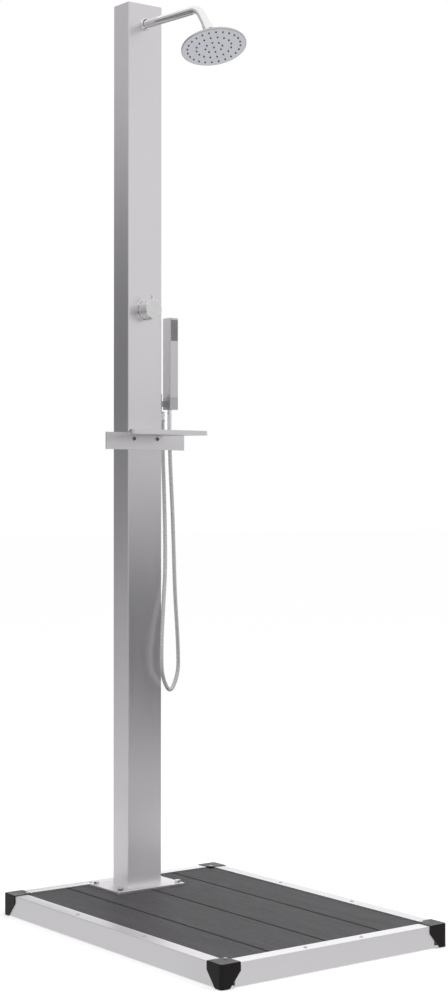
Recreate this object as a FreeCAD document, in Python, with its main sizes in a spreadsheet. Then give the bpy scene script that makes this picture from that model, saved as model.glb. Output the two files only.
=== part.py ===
import FreeCAD, Part
import math
import operator
import os

import Sketcher
from FreeCAD import Placement, Rotation, Vector

# Outdoor shower post: a hollow rectangular column on a low deck tray, with a tilting rain head,
# a turning valve knob, a lift-out hand shower on a loose metal hose, and a small shelf.
# Millimetres. Origin on the ground under the middle of the tray, +Z up, the post's front faces -Y.

os.makedirs("parts", exist_ok=True)
doc = FreeCAD.newDocument("outdoor_shower_post")

SIZES = {
    # deck tray
    "tray_width": 620,
    "tray_length": 860,
    "tray_top": 50,
    "rail_foot_gap": 1,
    "rail_wall": 2,
    "rail_lip": 34,
    "rail_flange": 24,
    "rail_corner_gap": 11,
    "rail_joint_gap": 1,
    "rail_edge_radius": 1.2,
    "board_thickness": 22,
    "board_gap": 5,
    "board_side_clearance": 0.5,
    "board_end_clearance": 1,
    "board_wall": 5,
    "board_edge_radius": 2,
    "bearer_width": 40,
    "bearer_wall": 2,
    "bearer_clearance": 1,
    "bearer_offset": 133,
    "beam_width": 160,
    "beam_wall": 3,
    # corner caps
    "cap_proud": 2,
    "cap_arm": 48,
    "cap_foot": 20,
    "cap_taper_height": 33,
    "cap_plate": 1.5,
    "cap_post": 9.5,
    "cap_corner_radius": 8,
    "cap_edge_radius": 2,
    "cap_lobe": 46,
    "cap_lobe_edge": 34,
    "cap_arm_shoulder": 12,
    "cap_boss_radius": 3.5,
    "cap_screw_inset": 38,
    # fasteners
    "screw_radius": 2,
    "screw_play": 0.15,
    "screw_head_radius": 4,
    "screw_head": 2.2,
    "rail_screw_length": 26,
    "cap_screw_length": 18,
    "bolt_radius": 4,
    "bolt_play": 0.5,
    "bolt_head": 5.3,
    "bolt_head_width": 13,
    "bolt_length": 40,
    "bolt_inset": 13,
    "washer_radius": 8,
    "washer": 1.6,
    "nut": 6.5,
    # post
    "post_centre": 326,
    "post_width": 98,
    "post_depth": 65,
    "post_top": 2188,
    "post_wall": 2,
    "post_corner_radius": 2.5,
    "lid": 2,
    "lid_skirt": 12,
    "lid_clearance": 0.3,
    "plate_width": 194,
    "plate_depth": 130,
    "plate": 4,
    "plate_corner_radius": 4,
    # water inlet and inner pipes
    "inlet_height": 160,
    "inlet_radius": 10.45,
    "inlet_shank_radius": 11,
    "inlet_bore": 7,
    "inlet_length": 18,
    "inlet_nut_width": 30,
    "inlet_nut": 6,
    "hole_play": 0.4,
    "pipe_radius": 7.5,
    "pipe_wall": 1,
    "socket_wall": 3,
    "socket_depth": 16,
    "branch_radius": 5,
    "branch_offset": 34,
    "branch_bend": 10,
    # valve
    "valve_height": 1446,
    "valve_body_radius": 20,
    "valve_body_depth": 46,
    "valve_neck_radius": 15,
    "valve_neck": 10,
    "valve_nut_radius": 18,
    "valve_nut": 6,
    "valve_stem_radius": 5,
    "valve_fit": 0.3,
    "rosette_radius": 26,
    "rosette": 3,
    "knob_radius": 23.5,
    "knob_gap": 0.8,
    "knob_front": 37.5,
    "knob_wall": 3.5,
    "knob_cavity": 25,
    "knob_edge_radius": 1,
    "lever_radius": 3.2,
    "lever_reach": 35,
    "lever_depth": 30.5,
    "lever_seat": 9,
    # shower arm
    "arm_below_top": 48,
    "arm_radius": 10.5,
    "arm_wall": 1.5,
    "arm_droop": 2,
    "arm_bend": 53,
    "arm_bend_radius": 45,
    "arm_tail": 18,
    "arm_straight": 214.7,
    "arm_end": 45,
    "arm_to_ball": 24,
    "arm_rosette_radius": 15,
    "arm_rosette": 6,
    # rain head, measured along its own axis from the ball's centre
    "ball_radius": 9,
    "ball_shank_radius": 5.5,
    "ball_cup_start": 17,
    "ball_cup": 18,
    "ball_cup_wall": 2,
    "ball_gap": 0.2,
    "seat_thickness": 2.6,
    "seat_below": 7,
    "seat_above": 4,
    "head_tilt": 20,
    "head_side_tilt": 4,
    "head_radius": 76,
    "head_drop": 24,
    "head_thickness": 6,
    "head_wall": 1.5,
    "head_edge_radius": 2.6,
    "head_lower_edge_radius": 1,
    "hub_radius": 18,
    "thread_radius": 13.5,
    "head_nut_height": 21.5,
    "nozzle_radius": 1.5,
    "nozzle_hole_play": 0.3,
    "nozzle_proud": 1.4,
    "nozzle_mat": 1,
    "nozzle_ring_inner": 20,
    "nozzle_ring_middle": 41,
    "nozzle_ring_outer": 62,
    # hand shower, its holder and outlet
    "hand_beside": 29.5,
    "hand_behind": 4.75,
    "hand_width": 23.8,
    "hand_depth": 32.5,
    "hand_bottom": 1236.5,
    "hand_top": 1432,
    "hand_edge_radius": 1.6,
    "spigot_behind": 8,
    "spigot_radius": 8.5,
    "spigot_play": 0.3,
    "spray_width": 20.5,
    "spray_height": 52,
    "spray_top_margin": 5,
    "spray_plate": 2,
    "spray_play": 0.1,
    "jet_radius": 0.8,
    "jet_proud": 0.8,
    "jet_pitch": 5,
    "holder_height": 29,
    "holder_slot": 12.5,
    "holder_neck": 8,
    "holder_neck_height": 14,
    "holder_neck_behind": 15.5,
    "holder_foot": 18,
    "holder_foot_height": 46,
    "holder_foot_plate": 3,
    "outlet_height": 1199.5,
    "outlet_beside": 25,
    "outlet_behind": 31,
    "outlet_radius": 6.5,
    "outlet_drop": 6.5,
    "outlet_rosette_radius": 9,
    "outlet_rosette": 2,
    "outlet_tail_radius": 5,
    "outlet_block": 18,
    # hose
    "hose_radius": 4.9,
    "hose_nut_radius": 5.7,
    "hose_nut": 14,
    "hose_ferrule": 49.5,
    "hose_play": 0.1,
    "ferrule_roof": 3.5,
    # shelf
    "shelf_sheet": 3,
    "shelf_bar_width": 229,
    "shelf_bar_bottom": 1108,
    "shelf_bar_top": 1149.5,
    "shelf_floor_drop": 4.5,
    "shelf_reach": 111,
    "shelf_front_width": 232,
    "shelf_rim": 8,
    "shelf_corner_radius": 8,
    "shelf_screw_height": 1134.5,
    "shelf_screw_spacing": 68,
    "shelf_screw_radius": 2.5,
    "shelf_head_radius": 4.8,
    "shelf_head": 3,
    "shelf_screw_length": 12,
    "socket_width": 4,
}

COUNTS = {"inner": 8, "middle": 16, "outer": 24, "jet_rows": 9, "jet_columns": 3, "board_count": 4}

# Hose route as (right of the post's middle, in front of its front face, height), from outlet to hand shower.
HOSE_ROUTE = [
    (74, -31, 1112),
    (71.5, -21.5, 1012),
    (67, -11, 905),
    (60, 0, 812),
    (47, 11, 735),
    (35.5, 20.5, 660),
    (31.5, 24.5, 604),
    (34, 24, 562),
    (63, 6.5, 522),
    (88, -8, 522),
    (116.5, -24.5, 562),
    (116, -23.5, 604),
    (108, -17, 668),
    (97, -11, 755),
    (91.5, -8.5, 860),
    (87, -7.8, 965),
    (81, -7.9, 1060),
    (78.5, -8, 1130),
]


def write_sheet():
    """Put every driving size in the document's sheet, each under its own name."""
    sheet = doc.addObject("Spreadsheet::Sheet", "sizes")
    for row, (name, size) in enumerate(SIZES.items(), start=1):
        sheet.set(f"A{row}", name)
        sheet.set(f"B{row}", str(size))
        sheet.setAlias(f"B{row}", name)
    doc.recompute()


def joined(sign, work):
    """Arithmetic on lengths that keeps the value and the live expression together."""

    def method(self, other):
        left, right = as_length(self), as_length(other)
        return Length(f"({left.text} {sign} {right.text})", work(left.value, right.value))

    return method


def joined_back(sign, work):
    """The same with the plain number on the left."""

    def method(self, other):
        return joined(sign, work)(as_length(other), self)

    return method


class Length:
    """A length worked out from the sheet: its value, and the expression that keeps it live."""

    def __init__(self, text, value):
        self.text = text
        self.value = value

    __add__ = joined("+", operator.add)
    __sub__ = joined("-", operator.sub)
    __mul__ = joined("*", operator.mul)
    __truediv__ = joined("/", operator.truediv)
    __radd__ = joined_back("+", operator.add)
    __rsub__ = joined_back("-", operator.sub)
    __rmul__ = joined_back("*", operator.mul)

    def __neg__(self):
        return 0 - self


class Sheet:
    """Reads a driving size by its name."""

    def __getattr__(self, name):
        return Length(f"sizes.{name}", float(SIZES[name]))


def as_length(number):
    if isinstance(number, Length):
        return number
    return Length(f"({number})", float(number))


def bind(item, path, length):
    """Tie one property of an object to the sheet."""
    if isinstance(length, Length):
        item.setExpression(path, length.text)


def place(item, x=0, y=0, z=0, turn=Rotation()):
    """Set where an object stands, tied to the sheet."""
    lengths = [as_length(x), as_length(y), as_length(z)]
    item.Placement = Placement(Vector(*[length.value for length in lengths]), turn)
    for axis, given in zip("xyz", (x, y, z)):
        bind(item, f"Placement.Base.{axis}", given)


S = Sheet()
AXIS_X = Vector(1, 0, 0)
AXIS_Y = Vector(0, 1, 0)
AXIS_Z = Vector(0, 0, 1)
TO_FRONT = Rotation(AXIS_X, 90)
TO_BACK = Rotation(AXIS_X, -90)
TO_RIGHT = Rotation(AXIS_Y, 90)
HEAD_TURN = Rotation(AXIS_X, -SIZES["head_tilt"]) * Rotation(AXIS_Y, SIZES["head_side_tilt"])

front_face = S.post_centre - S.post_depth / 2
back_face = S.post_centre + S.post_depth / 2
side_face = S.post_width / 2
deck_top = S.tray_top - S.rail_wall
board_bottom = deck_top - S.board_thickness
flange_top = S.rail_foot_gap + S.rail_wall
plate_top = deck_top + S.plate
bolt_x = S.plate_width / 2 - S.bolt_inset
bolt_y = S.plate_depth / 2 - S.bolt_inset
hand_y = front_face + S.hand_behind
spigot_y = front_face + S.spigot_behind
outlet_y = front_face + S.outlet_behind
hand_x = side_face + S.hand_beside
outlet_x = side_face + S.outlet_beside
arm_height = S.post_top - S.arm_below_top
screw_hole = S.screw_radius + S.screw_play
shelf_hole = S.shelf_screw_radius + S.screw_play
inner_face = front_face + S.post_wall
bolt_hole = S.bolt_radius + S.bolt_play
pipe_socket = S.pipe_radius + S.socket_wall


# ---------------------------------------------------------------- sketches and features


def new_body(label):
    body = doc.addObject("PartDesign::Body", label)
    body.Label = label
    return body


def sketch_on(body, role, offset=0):
    """A sketch on one of the body's own origin planes, moved along that plane's normal."""
    plane = next(item for item in body.Origin.OriginFeatures if item.Role == role)
    sketch = body.newObject("Sketcher::SketchObject", "Sketch")
    sketch.AttachmentSupport = [(plane, "")]
    sketch.MapMode = "FlatFace"
    sketch.AttachmentOffset = Placement(Vector(0, 0, as_length(offset).value), Rotation())
    bind(sketch, "AttachmentOffset.Base.z", offset)
    return sketch


def pin_point(sketch, geometry, vertex, x, y):
    """Hold one point of a sketch at its place from the origin."""
    for kind, given in (("DistanceX", x), ("DistanceY", y)):
        rule = Sketcher.Constraint(kind, -1, 1, geometry, vertex, as_length(given).value)
        bind(sketch, f"Constraints[{sketch.addConstraint(rule)}]", given)


def outline(sketch, corners):
    """A closed outline of straight lines through the corners."""
    points = [Vector(as_length(x).value, as_length(y).value, 0) for x, y in corners]
    start = sketch.GeometryCount
    for a, b in zip(points, points[1:] + points[:1]):
        sketch.addGeometry(Part.LineSegment(a, b), False)
    for i, (x, y) in enumerate(corners):
        following = start + (i + 1) % len(corners)
        sketch.addConstraint(Sketcher.Constraint("Coincident", start + i, 2, following, 1))
        pin_point(sketch, start + i, 1, x, y)


def rectangle(sketch, width, height, x=0, y=0):
    """A rectangle about its middle."""
    left, right = x - width / 2, x + width / 2
    low, high = y - height / 2, y + height / 2
    outline(sketch, [(left, low), (right, low), (right, high), (left, high)])


def circle(sketch, radius, x=0, y=0):
    centre = Vector(as_length(x).value, as_length(y).value, 0)
    index = sketch.addGeometry(Part.Circle(centre, AXIS_Z, as_length(radius).value), False)
    pin_point(sketch, index, 3, x, y)
    rule = Sketcher.Constraint("Radius", index, as_length(radius).value)
    bind(sketch, f"Constraints[{sketch.addConstraint(rule)}]", radius)


def pad(body, sketch, length, reverse=False):
    feature = body.newObject("PartDesign::Pad", "Pad")
    feature.Profile = sketch
    feature.Length = as_length(length).value
    feature.Reversed = reverse
    bind(feature, "Length", length)
    doc.recompute()
    return feature


def pocket(body, sketch, length, reverse=False):
    """Cut a sketch into the body, and make sure that it took something away."""
    doc.recompute()
    before = body.Shape.Volume
    feature = body.newObject("PartDesign::Pocket", "Pocket")
    feature.Profile = sketch
    feature.Length = as_length(length).value
    feature.Reversed = reverse
    bind(feature, "Length", length)
    doc.recompute()
    if feature.Shape.Volume > before - 1e-3:
        raise ValueError(f"a pocket in {body.Label} cuts nothing")
    return feature


def revolve(body, corners):
    """A solid of revolution about the body's Z axis from (radius, height) corners."""
    sketch = sketch_on(body, "XZ_Plane")
    outline(sketch, corners)
    feature = body.newObject("PartDesign::Revolution", "Revolution")
    feature.Profile = sketch
    feature.ReferenceAxis = (sketch, ["V_Axis"])
    feature.Angle = 360
    doc.recompute()
    return feature


def repeat_round(body, feature, count):
    """Repeat a feature in a ring about the body's Z axis."""
    axis = next(item for item in body.Origin.OriginFeatures if item.Role == "Z_Axis")
    pattern = body.newObject("PartDesign::PolarPattern", "Ring")
    pattern.Originals = [feature]
    pattern.Axis = (axis, [""])
    pattern.Angle = 360
    pattern.Occurrences = count
    body.Tip = pattern
    doc.recompute()


def round_edges(body, radius, wanted):
    """Fillet the edges of the body's last feature that pass a test."""
    doc.recompute()
    base = body.Tip
    names = [f"Edge{i}" for i, edge in enumerate(base.Shape.Edges, start=1) if wanted(edge)]
    feature = body.newObject("PartDesign::Fillet", "Fillet")
    feature.Base = (base, names)
    feature.Radius = as_length(radius).value
    bind(feature, "Radius", radius)
    doc.recompute()
    return feature


def is_upright(edge):
    box = edge.BoundBox
    return box.XLength < 1e-4 and box.YLength < 1e-4 and box.ZLength > 1e-3


def lies_at(edge, height):
    box = edge.BoundBox
    return box.ZLength < 1e-4 and abs(box.ZMin - as_length(height).value) < 1e-3


# ---------------------------------------------------------------- primitives and booleans


def rod(radius, height, x=0, y=0, z=0, turn=Rotation(), name="Rod"):
    item = doc.addObject("Part::Cylinder", name)
    item.Radius = as_length(radius).value
    item.Height = as_length(height).value
    bind(item, "Radius", radius)
    bind(item, "Height", height)
    place(item, x, y, z, turn)
    return item


def ball(radius, x=0, y=0, z=0, name="Ball"):
    item = doc.addObject("Part::Sphere", name)
    item.Radius = as_length(radius).value
    bind(item, "Radius", radius)
    place(item, x, y, z)
    return item


def block(width, depth, height, x=0, y=0, z=0, name="Block"):
    """A box centred on x and y that stands on z."""
    item = doc.addObject("Part::Box", name)
    for path, given in (("Length", width), ("Width", depth), ("Height", height)):
        setattr(item, path, as_length(given).value)
        bind(item, path, given)
    place(item, x - width / 2, y - depth / 2, z)
    return item


def hexagon(width, height, x=0, y=0, z=0, turn=Rotation(), name="Hexagon"):
    """A six-sided prism, sized across its flats."""
    item = doc.addObject("Part::Prism", name)
    item.Polygon = 6
    across_corners = width / math.sqrt(3)
    item.Circumradius = as_length(across_corners).value
    item.Height = as_length(height).value
    bind(item, "Circumradius", across_corners)
    bind(item, "Height", height)
    place(item, x, y, z, turn)
    return item


def fused(items, name="Fusion"):
    result = doc.addObject("Part::MultiFuse", name)
    result.Shapes = items
    result.Label = name
    result.Refine = True
    return result


def cut(base, tool, name="Cut"):
    result = doc.addObject("Part::Cut", name)
    result.Base = base
    result.Tool = tool
    result.Label = name
    return result


def shared(base, tool, name="Common"):
    result = doc.addObject("Part::Common", name)
    result.Base = base
    result.Tool = tool
    result.Label = name
    return result


def group(label, model, spots):
    """Copies of one fastener, each a solid of its own, at (x, y, z) spots."""
    doc.recompute()
    result = doc.addObject("Part::Feature", label)
    copies = []
    for spot in spots:
        copy = model.Shape.copy()
        copy.translate(Vector(*[as_length(length).value for length in spot]))
        copies.append(copy)
    result.Shape = Part.makeCompound(copies)
    result.Label = label
    return result


# ---------------------------------------------------------------- deck tray


def rail(label, length, x, y, angle, holes):
    """One aluminium edge rail: a wall with a wide lip above and a narrow flange below."""
    body = new_body(label)
    profile = sketch_on(body, "YZ_Plane", -length / 2)
    under_lip = S.tray_top - S.rail_wall
    outline(profile, [
        (0, S.rail_foot_gap),
        (S.rail_flange, S.rail_foot_gap),
        (S.rail_flange, flange_top),
        (S.rail_wall, flange_top),
        (S.rail_wall, under_lip),
        (S.rail_lip, under_lip),
        (S.rail_lip, S.tray_top),
        (0, S.tray_top),
    ])
    pad(body, profile, length)
    drilled = sketch_on(body, "XY_Plane", S.tray_top)
    for hole in holes:
        circle(drilled, screw_hole, hole, S.rail_lip / 2)
    pocket(body, drilled, S.rail_wall)
    round_edges(
        body, S.rail_edge_radius,
        lambda edge: lies_at(edge, S.tray_top) and abs(edge.BoundBox.YMin) + abs(edge.BoundBox.YMax) < 1e-3,
    )
    place(body, x, y, 0, Rotation(AXIS_Z, angle))
    return body


def rails():
    long_rail = S.tray_length - S.rail_corner_gap * 2
    short_rail = S.tray_width - (S.rail_lip + S.rail_joint_gap) * 2
    long_holes = (-S.bearer_offset, S.bearer_offset)
    board_pitch = board_width() + S.board_gap
    short_holes = (-board_pitch / 2, board_pitch / 2)
    return [
        rail("rail_front", short_rail, 0, -S.tray_length / 2, 0, short_holes),
        rail("rail_right", long_rail, S.tray_width / 2, 0, 90, long_holes),
        rail("rail_back", short_rail, 0, S.tray_length / 2, 180, short_holes),
        rail("rail_left", long_rail, -S.tray_width / 2, 0, 270, long_holes),
    ]


def corner_cap(label, x_side, y_side, angle):
    """A moulded corner cap that wraps the rails' ends, tapers down to a foot and is screwed to the deck."""
    body = new_body(label)
    top = S.tray_top + S.cap_plate
    edge = -S.cap_proud
    wall = [(edge, 0), (S.cap_foot, 0), (S.cap_arm, S.cap_taper_height), (S.cap_arm, top), (edge, top)]
    for plane, offset, reverse in (("XZ_Plane", S.cap_proud, True), ("YZ_Plane", -S.cap_proud, False)):
        side = sketch_on(body, plane, offset)
        outline(side, wall)
        pad(body, side, S.cap_proud, reverse)
    foot = sketch_on(body, "XY_Plane")
    outline(foot, [(edge, edge), (S.cap_post, edge), (S.cap_post, S.cap_post), (edge, S.cap_post)])
    pad(body, foot, board_bottom)
    angle_piece = sketch_on(body, "XY_Plane", board_bottom)
    outline(angle_piece, [
        (edge, edge),
        (S.cap_post, edge),
        (S.cap_post, S.rail_wall),
        (S.rail_wall, S.rail_wall),
        (S.rail_wall, S.cap_post),
        (edge, S.cap_post),
    ])
    pad(body, angle_piece, top - board_bottom)
    plate = sketch_on(body, "XY_Plane", S.tray_top)
    outline(plate, [
        (edge, edge),
        (S.cap_arm, edge),
        (S.cap_arm, S.cap_arm_shoulder),
        (S.cap_lobe, S.cap_lobe_edge),
        (S.cap_lobe, S.cap_lobe),
        (S.cap_lobe_edge, S.cap_lobe),
        (S.cap_arm_shoulder, S.cap_arm),
        (edge, S.cap_arm),
    ])
    pad(body, plate, S.cap_plate)
    boss = sketch_on(body, "XY_Plane", S.tray_top)
    circle(boss, S.cap_boss_radius, S.cap_screw_inset, S.cap_screw_inset)
    pad(body, boss, S.rail_wall, True)
    hole = sketch_on(body, "XY_Plane", top)
    circle(hole, screw_hole, S.cap_screw_inset, S.cap_screw_inset)
    pocket(body, hole, S.cap_plate + S.rail_wall)

    def at_corner(item):
        middle = item.BoundBox.Center
        return is_upright(item) and abs(middle.x - edge.value) < 1e-3 and abs(middle.y - edge.value) < 1e-3

    def at_lobe(item):
        middle = item.BoundBox.Center
        return is_upright(item) and min(middle.x, middle.y) > S.cap_lobe_edge.value - 1e-3 and (
            abs(max(middle.x, middle.y) - S.cap_lobe.value) < 1e-3)

    def on_outside(item):
        box = item.BoundBox
        return lies_at(item, top) and (abs(box.XMax - edge.value) < 1e-3 or abs(box.YMax - edge.value) < 1e-3
                                       or (box.XMin < S.cap_corner_radius.value
                                           and box.YMin < S.cap_corner_radius.value
                                           and item.Curve.TypeId == "Part::GeomCircle"))

    round_edges(body, S.cap_corner_radius, at_corner)
    round_edges(body, S.cap_lobe / 8, at_lobe)
    round_edges(body, S.cap_edge_radius, on_outside)
    place(body, x_side * S.tray_width / 2, y_side * S.tray_length / 2, 0, Rotation(AXIS_Z, angle))
    return body


def board_width():
    room = S.tray_width - (S.rail_wall + S.board_side_clearance) * 2
    return (room - S.board_gap * (COUNTS["board_count"] - 1)) / COUNTS["board_count"]


def deck_board(index):
    """A hollow wood-composite board with rounded edges, drilled for what is screwed or bolted through it."""
    body = new_body(f"deck_board_{index + 1}")
    width = board_width()
    centre = (width + S.board_gap) * (index - (COUNTS["board_count"] - 1) / 2)
    length = S.tray_length - (S.rail_wall + S.board_end_clearance) * 2
    middle = board_bottom + S.board_thickness / 2
    profile = sketch_on(body, "XZ_Plane", -length / 2)
    rectangle(profile, width, S.board_thickness, 0, middle)
    chambers = 4
    chamber = (width - S.board_wall * (chambers + 1)) / chambers
    for step in range(chambers):
        offset = (chamber + S.board_wall) * (step - (chambers - 1) / 2)
        rectangle(profile, chamber, S.board_thickness - S.board_wall * 2, offset, middle)
    pad(body, profile, length)
    round_edges(
        body, S.board_edge_radius,
        lambda edge: lies_at(edge, deck_top) and edge.BoundBox.YLength > length.value / 2,
    )
    holes = sketch_on(body, "XY_Plane", deck_top)
    outer = index in (0, COUNTS["board_count"] - 1)
    side = -1 if index == 0 else 1
    if outer:
        rail_x = side * (S.tray_width / 2 - S.rail_lip / 2) - centre
        cap_x = side * (S.tray_width / 2 - S.cap_screw_inset) - centre
        cap_y = S.tray_length / 2 - S.cap_screw_inset
        for x, y in ((rail_x, S.bearer_offset), (cap_x, cap_y)):
            circle(holes, screw_hole, x, y)
            circle(holes, screw_hole, x, -y)
    else:
        rail_y = S.tray_length / 2 - S.rail_lip / 2
        bolt_side = -1 if centre.value < 0 else 1
        for y in (rail_y, -rail_y):
            circle(holes, screw_hole, 0, y)
        for y in (S.post_centre - bolt_y, S.post_centre + bolt_y):
            circle(holes, bolt_hole, bolt_side * bolt_x - centre, y)
    pocket(body, holes, S.board_thickness)
    place(body, centre, 0, 0)
    return body


def bearer(label, y):
    """A square aluminium tube under the boards, on the rails' lower flanges."""
    body = new_body(label)
    length = S.tray_width - (S.rail_wall + S.bearer_clearance) * 2
    height = board_bottom - flange_top
    profile = sketch_on(body, "YZ_Plane", -length / 2)
    middle = flange_top + height / 2
    rectangle(profile, S.bearer_width, height, 0, middle)
    rectangle(profile, S.bearer_width - S.bearer_wall * 2, height - S.bearer_wall * 2, 0, middle)
    pad(body, profile, length)
    holes = sketch_on(body, "XY_Plane", board_bottom)
    for side in (-1, 1):
        circle(holes, screw_hole, side * (S.tray_width / 2 - S.rail_lip / 2), 0)
    pocket(body, holes, S.bearer_wall)
    place(body, 0, y, 0)
    return body


def post_beam():
    """A folded steel channel under the boards that takes the post's bolts."""
    body = new_body("post_beam")
    length = S.tray_width - (S.rail_wall + S.bearer_clearance) * 2
    half = S.beam_width / 2
    profile = sketch_on(body, "YZ_Plane", -length / 2)
    outline(profile, [
        (-half, flange_top),
        (S.beam_wall - half, flange_top),
        (S.beam_wall - half, board_bottom - S.beam_wall),
        (half - S.beam_wall, board_bottom - S.beam_wall),
        (half - S.beam_wall, flange_top),
        (half, flange_top),
        (half, board_bottom),
        (-half, board_bottom),
    ])
    pad(body, profile, length)
    holes = sketch_on(body, "XY_Plane", board_bottom)
    for x in (-bolt_x, bolt_x):
        for y in (-bolt_y, bolt_y):
            circle(holes, bolt_hole, x, y)
    pocket(body, holes, S.beam_wall)
    place(body, 0, S.post_centre, 0)
    return body


# ---------------------------------------------------------------- fasteners


def screw_model(length):
    """A raised-head screw that hangs from the origin, head above it."""
    body = new_body("screw_model")
    rise = S.screw_head / 2
    revolve(body, [
        (0, -length),
        (S.screw_radius, -length),
        (S.screw_radius, 0),
        (S.screw_head_radius, 0),
        (S.screw_head_radius, rise),
        (S.screw_head_radius / 2, S.screw_head),
        (0, S.screw_head),
    ])
    return body


def tray_screws():
    long_x = S.tray_width / 2 - S.rail_lip / 2
    short_y = S.tray_length / 2 - S.rail_lip / 2
    half_pitch = (board_width() + S.board_gap) / 2
    rail_spots = [(i * long_x, j * S.bearer_offset, S.tray_top) for i in (-1, 1) for j in (-1, 1)]
    rail_spots += [(i * half_pitch, j * short_y, S.tray_top) for i in (-1, 1) for j in (-1, 1)]
    cap_x = S.tray_width / 2 - S.cap_screw_inset
    cap_y = S.tray_length / 2 - S.cap_screw_inset
    cap_spots = [(i * cap_x, j * cap_y, S.tray_top + S.cap_plate) for i in (-1, 1) for j in (-1, 1)]
    return [
        group("rail_screws", screw_model(S.rail_screw_length), rail_spots),
        group("cap_screws", screw_model(S.cap_screw_length), cap_spots),
    ]


def post_fasteners():
    spots = [(i * bolt_x, S.post_centre + j * bolt_y, 0) for i in (-1, 1) for j in (-1, 1)]
    washer_top = plate_top + S.washer
    nut_top = board_bottom - S.beam_wall
    bolt = fused([
        rod(S.bolt_radius, S.bolt_length, 0, 0, washer_top - S.bolt_length),
        hexagon(S.bolt_head_width, S.bolt_head, 0, 0, washer_top),
    ], "bolt_model")
    nut = cut(
        hexagon(S.bolt_head_width, S.nut, 0, 0, nut_top - S.nut),
        rod(S.bolt_radius, S.nut, 0, 0, nut_top - S.nut),
        "nut_model",
    )
    washer = cut(
        rod(S.washer_radius, S.washer, 0, 0, plate_top),
        rod(S.bolt_radius, S.washer, 0, 0, plate_top),
        "washer_model",
    )
    return [
        group("anchor_bolts", bolt, spots),
        group("anchor_nuts", nut, spots),
        group("anchor_washers", washer, spots),
    ]


# ---------------------------------------------------------------- post


def base_plate():
    body = new_body("base_plate")
    plan = sketch_on(body, "XY_Plane", deck_top)
    rectangle(plan, S.plate_width, S.plate_depth)
    pad(body, plan, S.plate)
    round_edges(body, S.plate_corner_radius, is_upright)
    holes = sketch_on(body, "XY_Plane", plate_top)
    for x in (-bolt_x, bolt_x):
        for y in (-bolt_y, bolt_y):
            circle(holes, bolt_hole, x, y)
    pocket(body, holes, S.plate)
    place(body, 0, S.post_centre, 0)
    return body


def post_tube():
    """The rectangular steel column, open at both ends, with holes for the fittings."""
    body = new_body("post_tube")
    length = S.post_top - S.lid - plate_top
    plan = sketch_on(body, "XY_Plane", plate_top)
    rectangle(plan, S.post_width, S.post_depth)
    pad(body, plan, length)
    round_edges(body, S.post_corner_radius, is_upright)
    hollow = sketch_on(body, "XY_Plane", S.post_top - S.lid)
    rectangle(hollow, S.post_width - S.post_wall * 2, S.post_depth - S.post_wall * 2)
    pocket(body, hollow, length)
    front = sketch_on(body, "XZ_Plane")
    circle(front, S.arm_radius + S.hole_play * 2, 0, arm_height)
    circle(front, S.valve_neck_radius + S.hole_play, 0, S.valve_height)
    for side in (-1, 1):
        circle(front, shelf_hole, side * S.shelf_screw_spacing / 2, S.shelf_screw_height)
    pocket(body, front, S.post_depth / 2, True)
    back = sketch_on(body, "XZ_Plane")
    circle(back, S.inlet_shank_radius + S.hole_play, 0, S.inlet_height)
    pocket(body, back, S.post_depth / 2)
    side = sketch_on(body, "YZ_Plane")
    circle(side, S.outlet_tail_radius + S.hole_play, S.outlet_behind - S.post_depth / 2, S.outlet_height)
    for height in holder_screw_heights():
        circle(side, screw_hole, holder_foot_behind() - S.post_depth / 2, height)
    pocket(body, side, S.post_width / 2, True)
    place(body, 0, S.post_centre, 0)
    return body


def post_lid():
    """A flat lid whose skirt plugs into the top of the column."""
    body = new_body("post_lid")
    lid_bottom = S.post_top - S.lid
    play = (S.post_wall + S.lid_clearance) * 2
    plan = sketch_on(body, "XY_Plane", lid_bottom)
    rectangle(plan, S.post_width, S.post_depth)
    pad(body, plan, S.lid)
    round_edges(body, S.post_corner_radius, is_upright)
    skirt = sketch_on(body, "XY_Plane", lid_bottom)
    rectangle(skirt, S.post_width - play, S.post_depth - play)
    rectangle(skirt, S.post_width - play - S.lid * 2, S.post_depth - play - S.lid * 2)
    pad(body, skirt, S.lid_skirt, True)
    place(body, 0, S.post_centre, 0)
    return body


# ---------------------------------------------------------------- inner pipes


def pipe(label, bottom, top):
    """A straight upright pipe on the post's middle line."""
    body = new_body(label)
    plan = sketch_on(body, "XY_Plane", bottom)
    circle(plan, S.pipe_radius)
    circle(plan, S.pipe_radius - S.pipe_wall)
    pad(body, plan, top - bottom)
    place(body, 0, S.post_centre, 0)
    return body


def inlet_fitting():
    """A brass elbow: a threaded nipple through the post's back, and a socket for the supply pipe."""
    nipple = S.post_depth / 2 + S.inlet_length
    inside = back_face - S.post_wall
    shank = S.post_depth / 2 + S.inlet_nut
    outside = fused([
        rod(S.inlet_radius, nipple, 0, S.post_centre, S.inlet_height, TO_BACK),
        rod(S.inlet_shank_radius, shank, 0, S.post_centre, S.inlet_height, TO_BACK),
        hexagon(S.inlet_nut_width, S.inlet_nut, 0, inside - S.inlet_nut, S.inlet_height, TO_BACK),
        rod(pipe_socket, pipe_socket + S.socket_depth, 0, S.post_centre, S.inlet_height),
        ball(pipe_socket, 0, S.post_centre, S.inlet_height),
    ])
    bores = fused([
        rod(S.inlet_bore, nipple, 0, S.post_centre, S.inlet_height, TO_BACK),
        rod(S.pipe_radius, S.socket_depth, 0, S.post_centre, S.inlet_height + pipe_socket),
        rod(S.pipe_radius - S.pipe_wall, pipe_socket, 0, S.post_centre, S.inlet_height),
    ])
    return cut(outside, bores, "inlet_elbow")


def inlet_nut():
    return cut(
        hexagon(S.inlet_nut_width, S.inlet_nut, 0, back_face, S.inlet_height, TO_BACK),
        rod(S.inlet_shank_radius, S.inlet_nut, 0, back_face, S.inlet_height, TO_BACK),
        "inlet_nut",
    )


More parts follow.
